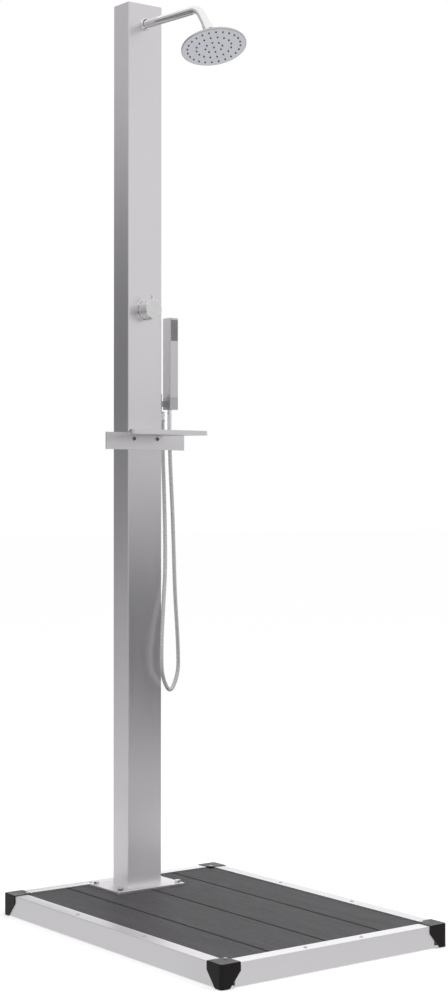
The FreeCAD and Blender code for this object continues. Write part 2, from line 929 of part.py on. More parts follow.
def valve_body():
    """The brass valve body: supply from below, rain head outlet above, side outlet for the hand shower."""
    reach = S.valve_body_radius + S.socket_depth
    branch_tip = S.branch_offset - S.branch_bend
    body_end = inner_face + S.valve_body_depth
    socket = S.branch_radius + S.socket_wall
    outside = fused([
        rod(S.valve_body_radius, S.valve_body_depth, 0, body_end, S.valve_height, TO_FRONT),
        rod(S.valve_neck_radius, S.valve_neck + S.post_wall, 0, inner_face, S.valve_height, TO_FRONT),
        rod(pipe_socket, reach * 2, 0, S.post_centre, S.valve_height - reach),
        rod(socket, branch_tip, 0, S.post_centre, S.valve_height, TO_RIGHT),
    ])
    spindle = S.valve_stem_radius + S.valve_fit
    bores = fused([
        rod(spindle, body_end, 0, body_end - S.socket_wall, S.valve_height, TO_FRONT),
        rod(S.pipe_radius, S.socket_depth, 0, S.post_centre, S.valve_height - reach),
        rod(S.pipe_radius, S.socket_depth, 0, S.post_centre, S.valve_height + S.valve_body_radius),
        rod(S.branch_radius - S.pipe_wall, reach * 2, 0, S.post_centre, S.valve_height - reach),
        rod(S.branch_radius, S.socket_wall * 2, branch_tip - S.socket_wall * 2, S.post_centre, S.valve_height,
            TO_RIGHT),
    ])
    return cut(outside, bores, "valve_body")


def sine(degrees):
    return Length(f"sin({degrees.text} * 1 deg)", math.sin(math.radians(degrees.value)))


def cosine(degrees):
    return Length(f"cos({degrees.text} * 1 deg)", math.cos(math.radians(degrees.value)))


def walk(start, heading, moves):
    """The corners of a path of straight runs and turns, as tied lengths; a turn is (radius, degrees)."""
    spots = [start]
    headings = [as_length(heading)]
    for move in moves:
        x, y = spots[-1]
        angle = headings[-1]
        if isinstance(move, tuple):
            radius, turn = move
            following = angle + turn
            side = math.copysign(1, as_length(turn).value)
            x = x + side * radius * (sine(following) - sine(angle))
            y = y + side * radius * (cosine(angle) - cosine(following))
            angle = following
        else:
            x = x + move * cosine(angle)
            y = y + move * sine(angle)
        spots.append((x, y))
        headings.append(angle)
    return spots, headings


def path_sketch(body, plane, start, heading, moves):
    """The same path as a sketch in one of the body's planes."""
    sketch = sketch_on(body, plane)
    spots, headings = walk(start, heading, moves)
    for move, a, b, angle, following in zip(moves, spots, spots[1:], headings, headings[1:]):
        first, last = [Vector(as_length(x).value, as_length(y).value, 0) for x, y in (a, b)]
        if not isinstance(move, tuple):
            index = sketch.addGeometry(Part.LineSegment(first, last), False)
            pin_point(sketch, index, 1, *a)
            pin_point(sketch, index, 2, *b)
            continue
        radius, turn = (as_length(part).value for part in move)
        side = math.copysign(1, turn)
        low, high = sorted(math.radians(part.value - side * 90) for part in (angle, following))
        across = math.radians(angle.value + side * 90)
        centre = first + Vector(math.cos(across), math.sin(across), 0) * radius
        index = sketch.addGeometry(Part.ArcOfCircle(Part.Circle(centre, AXIS_Z, radius), low, high), False)
        ends = (a, b) if side > 0 else (b, a)
        pin_point(sketch, index, 1, *ends[0])
        pin_point(sketch, index, 2, *ends[1])
        rule = Sketcher.Constraint("Radius", index, radius)
        bind(sketch, f"Constraints[{sketch.addConstraint(rule)}]", move[0])
    return sketch


def swept_tube(body, path, profile, radius, wall, x, y):
    """A round tube of one size along a path."""
    circle(profile, radius, x, y)
    circle(profile, radius - wall, x, y)
    feature = body.newObject("PartDesign::AdditivePipe", "Pipe")
    feature.Profile = profile
    feature.Spine = path
    doc.recompute()
    return feature


def branch_pipe():
    """The thin bent pipe from the valve's side outlet down to the hand shower's outlet."""
    body = new_body("branch_pipe")
    start = (S.branch_offset - S.branch_bend - S.socket_wall * 2, S.valve_height)
    run = S.valve_height - S.branch_bend - S.outlet_height - S.outlet_block / 2
    path = path_sketch(body, "XZ_Plane", start, 0, [S.socket_wall * 2, (S.branch_bend, -90), run])
    profile = sketch_on(body, "YZ_Plane", start[0])
    swept_tube(body, path, profile, S.branch_radius, S.pipe_wall, 0, S.valve_height)
    place(body, 0, S.post_centre, 0)
    return body


def outlet_block():
    """The brass block inside the side wall that joins the branch pipe to the outlet elbow."""
    half = S.outlet_block / 2
    inner = side_face - S.post_wall
    width = inner - S.branch_offset + half
    tail = S.outlet_tail_radius + S.screw_play
    body = block(width, S.outlet_block, S.outlet_block, inner - width / 2, outlet_y, S.outlet_height - half)
    bores = fused([
        rod(tail, side_face - S.branch_offset, S.branch_offset, outlet_y, S.outlet_height, TO_RIGHT),
        rod(S.branch_radius - S.pipe_wall, half, S.branch_offset, outlet_y, S.outlet_height),
    ])
    return cut(body, bores, "outlet_block")


# ---------------------------------------------------------------- valve


def valve_inside_parts():
    """The turning spool with its stem, and the ring nut that clamps the body to the front wall."""
    spool_start = front_face + S.post_wall + S.valve_body_depth - S.socket_wall
    stem_reach = spool_start - front_face + S.knob_front - S.lever_seat + S.valve_fit
    spool = rod(S.valve_stem_radius, stem_reach, 0, spool_start, S.valve_height, TO_FRONT, "valve_spool")
    spool.Label = "valve_spool"
    ring = cut(
        rod(S.valve_nut_radius, S.valve_nut, 0, front_face - S.rosette, S.valve_height, TO_FRONT),
        rod(S.valve_neck_radius, S.valve_nut, 0, front_face - S.rosette, S.valve_height, TO_FRONT),
        "valve_ring_nut",
    )
    return [spool, ring]


def valve_rosette():
    body = new_body("valve_rosette")
    inner = S.valve_neck_radius + S.valve_fit
    bevel = S.rosette / 3
    revolve(body, [
        (inner, 0),
        (S.rosette_radius, 0),
        (S.rosette_radius, S.rosette - bevel),
        (S.rosette_radius - bevel, S.rosette),
        (inner, S.rosette),
    ])
    place(body, 0, front_face, S.valve_height, TO_FRONT)
    return body


def valve_knob():
    """The round knob: a cup over the ring nut, with a bore for the stem and a hole for the lever pin."""
    body = new_body("valve_knob")
    stem = S.valve_stem_radius
    stem_end = S.knob_front - S.lever_seat + S.valve_fit
    edge = S.knob_edge_radius
    revolve(body, [
        (0, stem_end),
        (stem, stem_end),
        (stem, S.knob_cavity),
        (S.knob_radius - S.knob_wall, S.knob_cavity),
        (S.knob_radius - S.knob_wall, S.rosette + S.knob_gap),
        (S.knob_radius, S.rosette + S.knob_gap),
        (S.knob_radius, S.knob_front - edge),
        (S.knob_radius - edge, S.knob_front),
        (0, S.knob_front),
    ])
    hole = sketch_on(body, "XZ_Plane", -S.knob_radius)
    circle(hole, S.lever_radius, 0, S.lever_depth)
    pocket(body, hole, S.lever_seat, True)
    place(body, 0, front_face, S.valve_height, TO_FRONT)
    return body


def lever_pin():
    """The small pin that stands out of the knob's rim, with a rounded tip."""
    body = new_body("lever_pin")
    edge = S.lever_radius / 4
    start = S.knob_radius - S.lever_seat
    revolve(body, [
        (0, start),
        (S.lever_radius, start),
        (S.lever_radius, S.lever_reach - edge),
        (S.lever_radius - edge, S.lever_reach),
        (0, S.lever_reach),
    ])
    place(body, 0, front_face - S.lever_depth, S.valve_height)
    return body


# ---------------------------------------------------------------- shower arm and rain head


ARM_START = (front_face + S.arm_tail, arm_height)
ARM_MOVES = [S.arm_straight, (S.arm_bend_radius, S.arm_bend), S.arm_end]
arm_spots, arm_headings = walk(ARM_START, 180 + S.arm_droop, ARM_MOVES)
arm_slope = arm_headings[-1]
ball_y = arm_spots[-1][0] + S.arm_to_ball * cosine(arm_slope)
ball_z = arm_spots[-1][1] + S.arm_to_ball * sine(arm_slope)
ARM_TURN = Rotation(AXIS_X, arm_slope.value - 270)
seat_inner = S.ball_radius + S.ball_gap
seat_outer = seat_inner + S.seat_thickness
socket_radius = seat_outer + S.ball_gap
disc_top = -S.head_drop
disc_bottom = disc_top - S.head_thickness


def shower_arm():
    body = new_body("shower_arm")
    path = path_sketch(body, "YZ_Plane", ARM_START, 180 + S.arm_droop, ARM_MOVES)
    profile = sketch_on(body, "XZ_Plane", -ARM_START[0])
    swept_tube(body, path, profile, S.arm_radius, S.arm_wall, 0, arm_height)
    return body


def arm_rosette():
    """The stepped collar where the arm leaves the post."""
    body = new_body("arm_rosette")
    inner = S.arm_radius + S.hole_play * 2
    half = S.arm_rosette / 2
    revolve(body, [
        (inner, 0),
        (S.arm_rosette_radius, 0),
        (S.arm_rosette_radius, half),
        (S.arm_rosette_radius - half / 2, S.arm_rosette),
        (inner, S.arm_rosette),
    ])
    place(body, 0, front_face, arm_height, TO_FRONT)
    return body


def arm_elbow():
    """The brass elbow inside the column: the riser pipe enters below and the arm screws into its front."""
    socket = S.arm_radius + S.socket_wall
    depth = S.post_centre - inner_face
    outside = fused([
        rod(socket, depth, 0, S.post_centre, arm_height, TO_FRONT),
        ball(socket, 0, S.post_centre, arm_height),
        rod(pipe_socket, socket + S.socket_depth, 0, S.post_centre, arm_height - socket - S.socket_depth),
    ])
    arm_bore = S.arm_radius + S.hole_play * 2
    bores = fused([
        rod(arm_bore, S.arm_tail, 0, ARM_START[0], arm_height, TO_FRONT),
        rod(S.pipe_radius - S.pipe_wall, depth, 0, S.post_centre, arm_height, TO_FRONT),
        rod(S.pipe_radius - S.pipe_wall, socket, 0, S.post_centre, arm_height - socket),
        rod(S.pipe_radius, S.socket_depth, 0, S.post_centre, arm_height - socket - S.socket_depth),
    ])
    return cut(outside, bores, "arm_elbow")


def ball_stud():
    """The ball on the arm's end: ball, slim shank and a cup that screws over the arm."""
    cup = S.arm_radius + S.ball_cup_wall
    solid = fused([
        ball(S.ball_radius),
        rod(S.ball_shank_radius, S.ball_cup_start),
        rod(cup, S.ball_cup, 0, 0, S.ball_cup_start),
    ])
    bores = fused([
        rod(S.arm_radius + S.ball_gap / 2, S.ball_cup, 0, 0, S.arm_to_ball - S.ball_gap * 3),
        rod(S.ball_shank_radius / 2, S.ball_radius + S.ball_cup, 0, 0, -S.ball_radius),
    ])
    result = cut(solid, bores, "ball_stud")
    place(result, 0, ball_y, ball_z, ARM_TURN)
    return result


def ball_seat():
    """The plastic bearing ring between ball and head: round inside and outside, so that it swings on both."""
    ring = cut(ball(seat_outer), ball(seat_inner))
    band = rod(seat_outer * 2, S.seat_below + S.seat_above, 0, 0, -S.seat_below)
    result = shared(ring, band, "ball_seat")
    place(result, 0, ball_y, ball_z, HEAD_TURN)
    return result


def head_nut():
    """The ring nut that holds ball and seat down in the hub."""
    body = new_body("head_nut_blank")
    bottom = S.ball_gap - socket_radius
    top = bottom + S.head_nut_height
    outer = S.hub_radius - S.head_wall / 2
    mouth = socket_radius / 2
    thread = S.thread_radius + S.ball_gap / 2
    shoulder = -S.seat_above
    revolve(body, [
        (thread, bottom),
        (outer, bottom),
        (outer, top - S.head_wall),
        (outer - S.head_wall, top),
        (socket_radius + S.ball_gap * 2, top),
        (socket_radius - S.head_wall, mouth),
        (S.ball_radius, mouth),
        (S.ball_radius, shoulder),
        (thread, shoulder),
    ])
    result = cut(body, ball(socket_radius), "head_nut")
    place(result, 0, ball_y, ball_z, HEAD_TURN)
    return result


def head_shell():
    """The thin round shell of the rain head with its hub and the socket's lower half."""
    body = new_body("head_shell_blank")
    inner = S.head_radius - S.head_wall
    hub_foot = S.hub_radius + S.head_edge_radius
    nut_seat = -socket_radius
    revolve(body, [
        (S.nozzle_radius * 2, disc_top - S.head_wall),
        (inner, disc_top - S.head_wall),
        (inner, disc_bottom),
        (S.head_radius, disc_bottom),
        (S.head_radius, disc_top),
        (hub_foot, disc_top),
        (S.hub_radius, disc_top + S.head_edge_radius * 2),
        (S.hub_radius, nut_seat),
        (S.thread_radius, nut_seat),
        (S.thread_radius, -S.seat_above),
        (S.nozzle_radius * 2, -S.seat_above),
    ])

    for height, radius in ((disc_top, S.head_edge_radius), (disc_bottom, S.head_lower_edge_radius)):
        round_edges(
            body, radius,
            lambda edge, level=height: lies_at(edge, level)
            and abs(edge.BoundBox.XLength / 2 - S.head_radius.value) < 1e-3,
        )
    result = cut(body, ball(socket_radius), "head_shell")
    place(result, 0, ball_y, ball_z, HEAD_TURN)
    return result


def nozzle_rings():
    return (
        (S.nozzle_ring_inner, COUNTS["inner"]),
        (S.nozzle_ring_middle, COUNTS["middle"]),
        (S.nozzle_ring_outer, COUNTS["outer"]),
    )


def head_face():
    """The spray plate, with a hole for every nozzle."""
    body = new_body("head_face")
    plan = sketch_on(body, "XY_Plane", disc_bottom)
    circle(plan, S.head_radius - S.head_wall - S.ball_gap)
    pad(body, plan, S.head_wall)
    hole = S.nozzle_radius + S.nozzle_hole_play
    middle = sketch_on(body, "XY_Plane", disc_bottom + S.head_wall)
    circle(middle, hole)
    pocket(body, middle, S.head_wall)
    for radius, count in nozzle_rings():
        sketch = sketch_on(body, "XY_Plane", disc_bottom + S.head_wall)
        circle(sketch, hole, radius, 0)
        repeat_round(body, pocket(body, sketch, S.head_wall), count)
    place(body, 0, ball_y, ball_z, HEAD_TURN)
    return body


def head_nozzles():
    """The soft mat behind the spray plate, whose nozzles stand out through the holes."""
    body = new_body("head_nozzles")
    mat_bottom = disc_bottom + S.head_wall
    plan = sketch_on(body, "XY_Plane", mat_bottom)
    circle(plan, S.head_radius - S.head_wall * 2)
    pad(body, plan, S.nozzle_mat)
    length = S.head_wall + S.nozzle_proud
    middle = sketch_on(body, "XY_Plane", mat_bottom)
    circle(middle, S.nozzle_radius)
    pad(body, middle, length, True)
    for radius, count in nozzle_rings():
        sketch = sketch_on(body, "XY_Plane", mat_bottom)
        circle(sketch, S.nozzle_radius, radius, 0)
        repeat_round(body, pad(body, sketch, length, True), count)
    place(body, 0, ball_y, ball_z, HEAD_TURN)
    return body


# ---------------------------------------------------------------- hand shower


def hand_body():
    """The stick-shaped hand shower: a rounded bar, a recess for its spray plate, a round spigot below."""
    body = new_body("hand_body")
    plan = sketch_on(body, "XY_Plane", S.hand_bottom)
    rectangle(plan, S.hand_width, S.hand_depth)
    pad(body, plan, S.hand_top - S.hand_bottom)
    round_edges(body, S.hand_edge_radius, is_upright)
    round_edges(body, S.hand_edge_radius, lambda edge: edge.BoundBox.ZMin > S.hand_top.value - 1e-3)
    spigot = sketch_on(body, "XY_Plane", S.hand_bottom)
    circle(spigot, S.spigot_radius, 0, S.spigot_behind - S.hand_behind)
    pad(body, spigot, S.holder_height + S.spigot_play, True)
    window = sketch_on(body, "XZ_Plane", S.hand_depth / 2)
    rectangle(window, S.spray_width, S.spray_height, 0, spray_middle())
    pocket(body, window, S.spray_plate)
    place(body, hand_x, hand_y, 0)
    return body


def spray_middle():
    return S.hand_top - S.spray_top_margin - S.spray_height / 2


def hand_spray_plate():
    """The dark spray plate with its little jets, set flush in the hand shower's front."""
    body = new_body("hand_spray_plate")
    face = S.hand_depth / 2
    play = S.spray_play * 2
    plate = sketch_on(body, "XZ_Plane", face)
    rectangle(plate, S.spray_width - play, S.spray_height - play, 0, spray_middle())
    pad(body, plate, S.spray_plate, True)
    jets = sketch_on(body, "XZ_Plane", face)
    for column in range(COUNTS["jet_columns"]):
        for row in range(COUNTS["jet_rows"]):
            x = S.jet_pitch * (column - (COUNTS["jet_columns"] - 1) / 2)
            z = S.jet_pitch * (row - (COUNTS["jet_rows"] - 1) / 2) + spray_middle()
            circle(jets, S.jet_radius, x, z)
    pad(body, jets, S.jet_proud)
    place(body, hand_x, hand_y, 0)
    return body


def holder_bottom():
    return S.hand_bottom - S.spigot_play - S.holder_height


def holder_foot_behind():
    """How far behind the front face the holder's foot is centred."""
    return S.holder_foot / 2 + S.holder_foot_plate


def holder_screw_heights():
    middle = holder_bottom() + S.holder_height / 2
    reach = S.holder_foot_height / 2 - S.screw_head_radius - S.screw_play * 4
    return (middle - reach, middle + reach)


def hand_holder():
    """The holder: a block of the hand shower's section with a slotted socket, on a neck and a foot."""
    body = new_body("hand_holder")
    bottom = holder_bottom()
    plan = sketch_on(body, "XY_Plane", bottom)
    rectangle(plan, S.hand_width, S.hand_depth)
    pad(body, plan, S.holder_height)
    round_edges(body, S.hand_edge_radius, is_upright)
    foot_x = side_face - hand_x
    foot_y = holder_foot_behind() - S.hand_behind
    middle = bottom + S.holder_height / 2
    neck = sketch_on(body, "YZ_Plane", foot_x)
    rectangle(neck, S.holder_neck, S.holder_neck_height, S.holder_neck_behind - S.hand_behind, middle)
    pad(body, neck, -foot_x - S.hand_width / 2 + S.hand_edge_radius)
    foot = sketch_on(body, "YZ_Plane", foot_x)
    rectangle(foot, S.holder_foot, S.holder_foot_height, foot_y, middle)
    pad(body, foot, S.holder_foot_plate)
    axis_y = S.spigot_behind - S.hand_behind
    socket = sketch_on(body, "XY_Plane", bottom + S.holder_height)
    circle(socket, S.spigot_radius + S.spigot_play, 0, axis_y)
    pocket(body, socket, S.holder_height)
    slot = sketch_on(body, "XY_Plane", bottom + S.holder_height)
    rectangle(slot, S.hand_width / 2, S.holder_slot, S.hand_width / 4 + S.hand_edge_radius * 2, axis_y)
    pocket(body, slot, S.holder_height)
    holes = sketch_on(body, "YZ_Plane", foot_x + S.holder_foot_plate)
    for height in holder_screw_heights():
        circle(holes, screw_hole, foot_y, height)
    pocket(body, holes, S.holder_foot_plate)
    place(body, hand_x, hand_y, 0)
    return body


def holder_screws():
    body = screw_model(S.holder_foot_plate + S.post_wall * 4)
    doc.recompute()
    turned = doc.addObject("Part::Feature", "turned_screw")
    shape = body.Shape.copy()
    shape.rotate(Vector(), AXIS_Y, 90)
    turned.Shape = shape
    y = front_face + holder_foot_behind()
    x = side_face + S.holder_foot_plate
    return group("holder_screws", turned, [(x, y, height) for height in holder_screw_heights()])


def outlet_elbow():
    """The domed elbow on the post's side that feeds the hose, with its rosette and wall tail."""
    reach = outlet_x - side_face
    tail = side_face - S.branch_offset - S.branch_radius + S.post_wall
    solid = fused([
        rod(S.outlet_tail_radius, reach + tail, side_face - tail, outlet_y, S.outlet_height, TO_RIGHT),
        rod(S.outlet_rosette_radius, S.outlet_rosette, side_face, outlet_y, S.outlet_height, TO_RIGHT),
        rod(S.outlet_radius, reach, side_face, outlet_y, S.outlet_height, TO_RIGHT),
        ball(S.outlet_radius, outlet_x, outlet_y, S.outlet_height),
        rod(S.outlet_radius, S.outlet_drop, outlet_x, outlet_y, S.outlet_height - S.outlet_drop),
    ], "outlet_elbow")
    return solid


# ---------------------------------------------------------------- hose


def turned_piece(label, corners, x, y):
    body = new_body(label)
    revolve(body, corners)
    place(body, x, y, 0)
    return body


def hose_end():
    """The height at which the hose ends, under the roof of its sleeve."""
    return holder_bottom() - S.ferrule_roof


def hose_nuts():
    """The short nut under the outlet, and the long sleeve that hides the hose's end under the hand shower."""
    outlet_bottom = S.outlet_height - S.outlet_drop
    hand_spigot = holder_bottom()
    bore = S.hose_radius + S.hose_play
    return [
        turned_piece("outlet_hose_nut", [
            (0, outlet_bottom - S.hose_nut),
            (S.hose_radius + S.ball_gap, outlet_bottom - S.hose_nut),
            (S.hose_nut_radius, outlet_bottom - S.hose_nut * 0.7),
            (S.hose_nut_radius, outlet_bottom),
            (0, outlet_bottom),
        ], outlet_x, outlet_y),
        turned_piece("hand_hose_nut", [
            (bore, hand_spigot - S.hose_ferrule),
            (bore + S.hose_play * 4, hand_spigot - S.hose_ferrule),
            (S.hose_nut_radius, hand_spigot - S.hose_nut),
            (S.hose_nut_radius, hand_spigot),
            (0, hand_spigot),
            (0, hose_end()),
            (bore, hose_end()),
        ], hand_x, spigot_y),
    ]


def shower_hose():
    """The loose metal hose as a plain round tube: straight runs joined by tangent arcs."""
    start = Vector(outlet_x.value, outlet_y.value, (S.outlet_height - S.outlet_drop - S.hose_nut).value)
    end = Vector(hand_x.value, spigot_y.value, hose_end().value)
    points = [Vector(x, front_face.value - ahead, z) for x, ahead, z in HOSE_ROUTE]
    points = [start] + points + [end]
    edges, last, radii = [], start, []
    for before, corner, after in zip(points, points[1:], points[2:]):
        come, leave = before - corner, after - corner
        shorter = min(come.Length, leave.Length)
        half_turn = (math.pi - come.getAngle(leave)) / 2
        come.normalize()
        leave.normalize()
        reach = 0.45 * shorter
        radius = reach / math.tan(half_turn)
        inward = (come + leave).normalize()
        depth = math.hypot(radius, reach) - radius
        first, final = corner + come * reach, corner + leave * reach
        edges.append(Part.LineSegment(last, first).toShape())
        edges.append(Part.Arc(first, corner + inward * depth, final).toShape())
        radii.append(round(radius))
        last = final
    edges.append(Part.LineSegment(last, end).toShape())
    path = Part.Wire(edges)
    section = Part.Wire([Part.Circle(start, points[1] - start, S.hose_radius.value).toShape()])
    tube = path.makePipeShell([section], True, False)
    expected = math.pi * S.hose_radius.value ** 2 * path.Length
    print("hose bend radii", radii)
    print("hose length", round(path.Length), "volume ratio", round(tube.Volume / expected, 4))
    if abs(tube.Volume / expected - 1) > 0.01:
        raise ValueError("the hose's volume is not its section times its length")
    item = doc.addObject("Part::Feature", "shower_hose")
    item.Shape = tube
    item.Label = "shower_hose"
    return item


# ---------------------------------------------------------------- shelf


def shelf_form(name, edge, inset, bottom, height):
    """The shelf's flared plan with round front corners, drawn inside its outer edge by the inset."""
    body = new_body(name)
    half_front = S.shelf_front_width / 2
    half_back = side_face
    flare = (half_front - half_back) / S.shelf_reach
    across = inset * (1 + flare.value ** 2) ** 0.5
    plan = sketch_on(body, "XY_Plane", bottom)
    front = inset - S.shelf_reach
    outline(plan, [
        (across - half_back, 0),
        (across - half_front + flare * inset, front),
        (half_front - across - flare * inset, front),
        (half_back - across, 0),
    ])
    pad(body, plan, height)
    round_edges(body, edge, lambda item: is_upright(item) and item.BoundBox.YMax < front.value + 1e-3)
    return body


def shelf():
    """One bent sheet: a wide bar screwed to the post, and a flared shelf with a low rim in front."""
    floor = S.shelf_bar_top - S.shelf_floor_drop - S.shelf_sheet
    depth = S.shelf_sheet + S.shelf_rim
    corner = S.shelf_corner_radius - S.shelf_sheet
    outer = shelf_form("shelf_outside", S.shelf_corner_radius, S.shelf_sheet * 0, floor, depth)
    inner = shelf_form("shelf_inside", corner, S.shelf_sheet, floor + S.shelf_sheet, S.shelf_rim)
    body = new_body("shelf_bar")
    bar = sketch_on(body, "XZ_Plane")
    height = S.shelf_bar_top - S.shelf_bar_bottom
    rectangle(bar, S.shelf_bar_width, height, 0, S.shelf_bar_bottom + height / 2)
    pad(body, bar, S.shelf_sheet)
    holes = sketch_on(body, "XZ_Plane", S.shelf_sheet)
    for side in (-1, 1):
        circle(holes, shelf_hole, side * S.shelf_screw_spacing / 2, S.shelf_screw_height)
    pocket(body, holes, S.shelf_sheet)
    result = fused([cut(outer, inner), body], "shelf")
    place(result, 0, front_face, 0)
    return result


def shelf_screws():
    """Two round-headed screws with a hexagon socket."""
    body = new_body("shelf_screw_blank")
    radius = S.shelf_head_radius
    revolve(body, [
        (0, -S.shelf_screw_length),
        (S.shelf_screw_radius, -S.shelf_screw_length),
        (S.shelf_screw_radius, 0),
        (radius, 0),
        (radius, S.shelf_head / 3),
        (radius * 0.6, S.shelf_head),
        (0, S.shelf_head),
    ])
    model = cut(body, hexagon(S.socket_width, S.shelf_head, 0, 0, S.shelf_head / 3), "shelf_screw_model")
    place(model, 0, 0, 0, TO_FRONT)
    y = front_face - S.shelf_sheet
    spots = [(side * S.shelf_screw_spacing / 2, y, S.shelf_screw_height) for side in (-1, 1)]
    return group("shelf_screws", model, spots)


# ---------------------------------------------------------------- build, check and write


def build():
    write_sheet()
    valve_reach = S.valve_body_radius
    arm_socket = S.arm_radius + S.socket_wall
    pieces = rails()
    for name, x_side, y_side, angle in (
        ("front_left", -1, -1, 0),
        ("front_right", 1, -1, 90),
        ("back_right", 1, 1, 180),
        ("back_left", -1, 1, 270),
    ):
        pieces.append(corner_cap(f"corner_cap_{name}", x_side, y_side, angle))
    pieces += [deck_board(index) for index in range(COUNTS["board_count"])]
    pieces += [bearer("bearer_front", -S.bearer_offset), bearer("bearer_back", S.bearer_offset), post_beam()]
    pieces += tray_screws() + post_fasteners()
    pieces += [base_plate(), post_tube(), post_lid(), inlet_fitting(), inlet_nut()]
    pieces += [
        pipe("supply_pipe", S.inlet_height + pipe_socket, S.valve_height - valve_reach),
        pipe("riser_pipe", S.valve_height + valve_reach, arm_height - arm_socket),
        branch_pipe(), outlet_block(), valve_body(), valve_rosette(), valve_knob(), lever_pin(),
    ]
    pieces += valve_inside_parts()
    pieces += [arm_rosette(), arm_elbow(), shower_arm(), ball_stud(), ball_seat()]
    pieces += [head_nut(), head_shell(), head_face(), head_nozzles()]
    pieces += [hand_body(), hand_spray_plate(), hand_holder(), holder_screws(), outlet_elbow()]
    pieces += hose_nuts() + [shower_hose(), shelf(), shelf_screws()]
    doc.recompute()
    return pieces


def check(pieces):
    """Refuse a failed object or an empty or broken sub-part."""
    failed = [item.Name for item in doc.Objects if "Invalid" in item.State or "Error" in item.State]
    if failed:
        raise ValueError(f"failed objects: {failed}")
    for piece in pieces:
        if piece.Shape.isNull() or not piece.Shape.isValid() or not piece.Shape.Solids:
            raise ValueError(f"{piece.Label} has no valid solid")


def write(pieces):
    for piece in pieces:
        piece.Shape.exportStep(f"parts/{piece.Label}.step")
    print(len(pieces), "sub-parts; ball at", round(ball_y.value, 2), round(ball_z.value, 2))


finished = build()
check(finished)
write(finished)
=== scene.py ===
import math

import bmesh
import bpy
from bpy.props import FloatProperty, FloatVectorProperty, IntProperty, PointerProperty
from bpy.types import Operator, Panel, PropertyGroup
from mathutils import Euler, Matrix, Vector


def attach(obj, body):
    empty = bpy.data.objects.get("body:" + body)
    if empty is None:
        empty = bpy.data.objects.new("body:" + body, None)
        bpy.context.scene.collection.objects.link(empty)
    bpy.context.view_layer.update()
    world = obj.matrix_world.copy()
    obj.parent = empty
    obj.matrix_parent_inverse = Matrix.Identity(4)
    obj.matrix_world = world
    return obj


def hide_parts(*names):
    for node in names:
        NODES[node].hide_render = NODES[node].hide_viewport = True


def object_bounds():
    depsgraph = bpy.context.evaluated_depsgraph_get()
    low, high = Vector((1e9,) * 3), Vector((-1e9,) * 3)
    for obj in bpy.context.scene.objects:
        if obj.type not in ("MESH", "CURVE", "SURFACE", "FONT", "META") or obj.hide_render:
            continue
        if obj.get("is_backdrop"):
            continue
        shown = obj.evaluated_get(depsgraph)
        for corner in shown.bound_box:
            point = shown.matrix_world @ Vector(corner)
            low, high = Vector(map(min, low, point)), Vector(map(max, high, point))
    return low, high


bl_info = {
    "name": "Outdoor Shower Post",
    "version": (1, 0, 0),
    "blender": (4, 5, 0),
    "location": "3D View > Sidebar > Shower",
    "description": "Finishes, screws, hose and studio for an outdoor shower post on a deck tray",
    "category": "Object",
}

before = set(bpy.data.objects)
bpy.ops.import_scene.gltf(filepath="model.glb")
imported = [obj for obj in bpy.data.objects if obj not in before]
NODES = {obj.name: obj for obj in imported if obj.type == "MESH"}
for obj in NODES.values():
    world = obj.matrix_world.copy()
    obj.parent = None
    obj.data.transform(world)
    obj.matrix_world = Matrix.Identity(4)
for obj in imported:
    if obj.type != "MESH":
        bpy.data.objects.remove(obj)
CAD_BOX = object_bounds()

RAILS_ACROSS = ("rail_front", "rail_back")
RAILS_ALONG = ("rail_left", "rail_right")
DECK_BOARDS = ("deck_board_1", "deck_board_2", "deck_board_3", "deck_board_4")
CORNER_CAPS = (
    "corner_cap_front_left", "corner_cap_front_right", "corner_cap_back_right", "corner_cap_back_left",
)

# The hose's route, the same points as the construction's, in metres: from the outlet on the post's
# side down to the loop and up into the hand shower's sleeve.
HOSE_ROUTE = (
    (0.0740, 0.3245, 1.1790),
    (0.0740, 0.3245, 1.1120),
    (0.0715, 0.3150, 1.0120),
    (0.0670, 0.3045, 0.9050),
    (0.0600, 0.2935, 0.8120),
    (0.0470, 0.2825, 0.7350),
    (0.0355, 0.2730, 0.6600),
    (0.0315, 0.2690, 0.6040),
    (0.0340, 0.2695, 0.5620),
    (0.0630, 0.2870, 0.5220),
    (0.0880, 0.3015, 0.5220),
    (0.1165, 0.3180, 0.5620),
    (0.1160, 0.3170, 0.6040),
    (0.1080, 0.3105, 0.6680),
    (0.0970, 0.3045, 0.7550),
    (0.0915, 0.3020, 0.8600),
    (0.0870, 0.3013, 0.9650),
    (0.0810, 0.3014, 1.0600),
    (0.0785, 0.3015, 1.1300),
    (0.0785, 0.3015, 1.2037),
)
HOSE_RADIUS = 0.0049
# One turn of the winding: the share of its length at which the tube is as high as its groove, its shoulder
# or its crest. The shoulder lies below the crest by a share of the groove's depth.
HOSE_TURN = (
    (0, "groove"), (0.16, "groove"), (0.26, "shoulder"), (0.58, "crest"), (0.9, "shoulder"), (1, "groove"),
)
HOSE_SHOULDER = 0.15
# Corners nearer than this, in metres, are one corner.
SAME_CORNER = 1e-6

# The rain head in its construction: the ball's middle, the head's turns about it, the face's depth below
# it, and the radius and count of each ring of nozzles. Lengths in metres, turns in degrees.
HEAD_BALL = (0, 0.02206, 2.05682)
HEAD_TURN = ((-20, "X"), (4, "Y"))
FACE_BELOW_BALL = 0.030
NOZZLE_RINGS = ((0, 1), (0.020, 8), (0.041, 16), (0.062, 24))
NOZZLE_RISE = 0.0018
# How far a nozzle's collar reaches into the face, and its sides.
NOZZLE_ROOT = 0.0003
NOZZLE_SIDES = 16

# Screws in metres: the head's radius and height and the shank's radius.
CROSS_SCREW = (0.0040, 0.0022, 0.0020)
SOCKET_SCREW = (0.0048, 0.0030, 0.0025)
# The socket's width between two flats, and its depth, in metres.
SOCKET_WIDTH = 0.0052
SOCKET_DEPTH = 0.0024
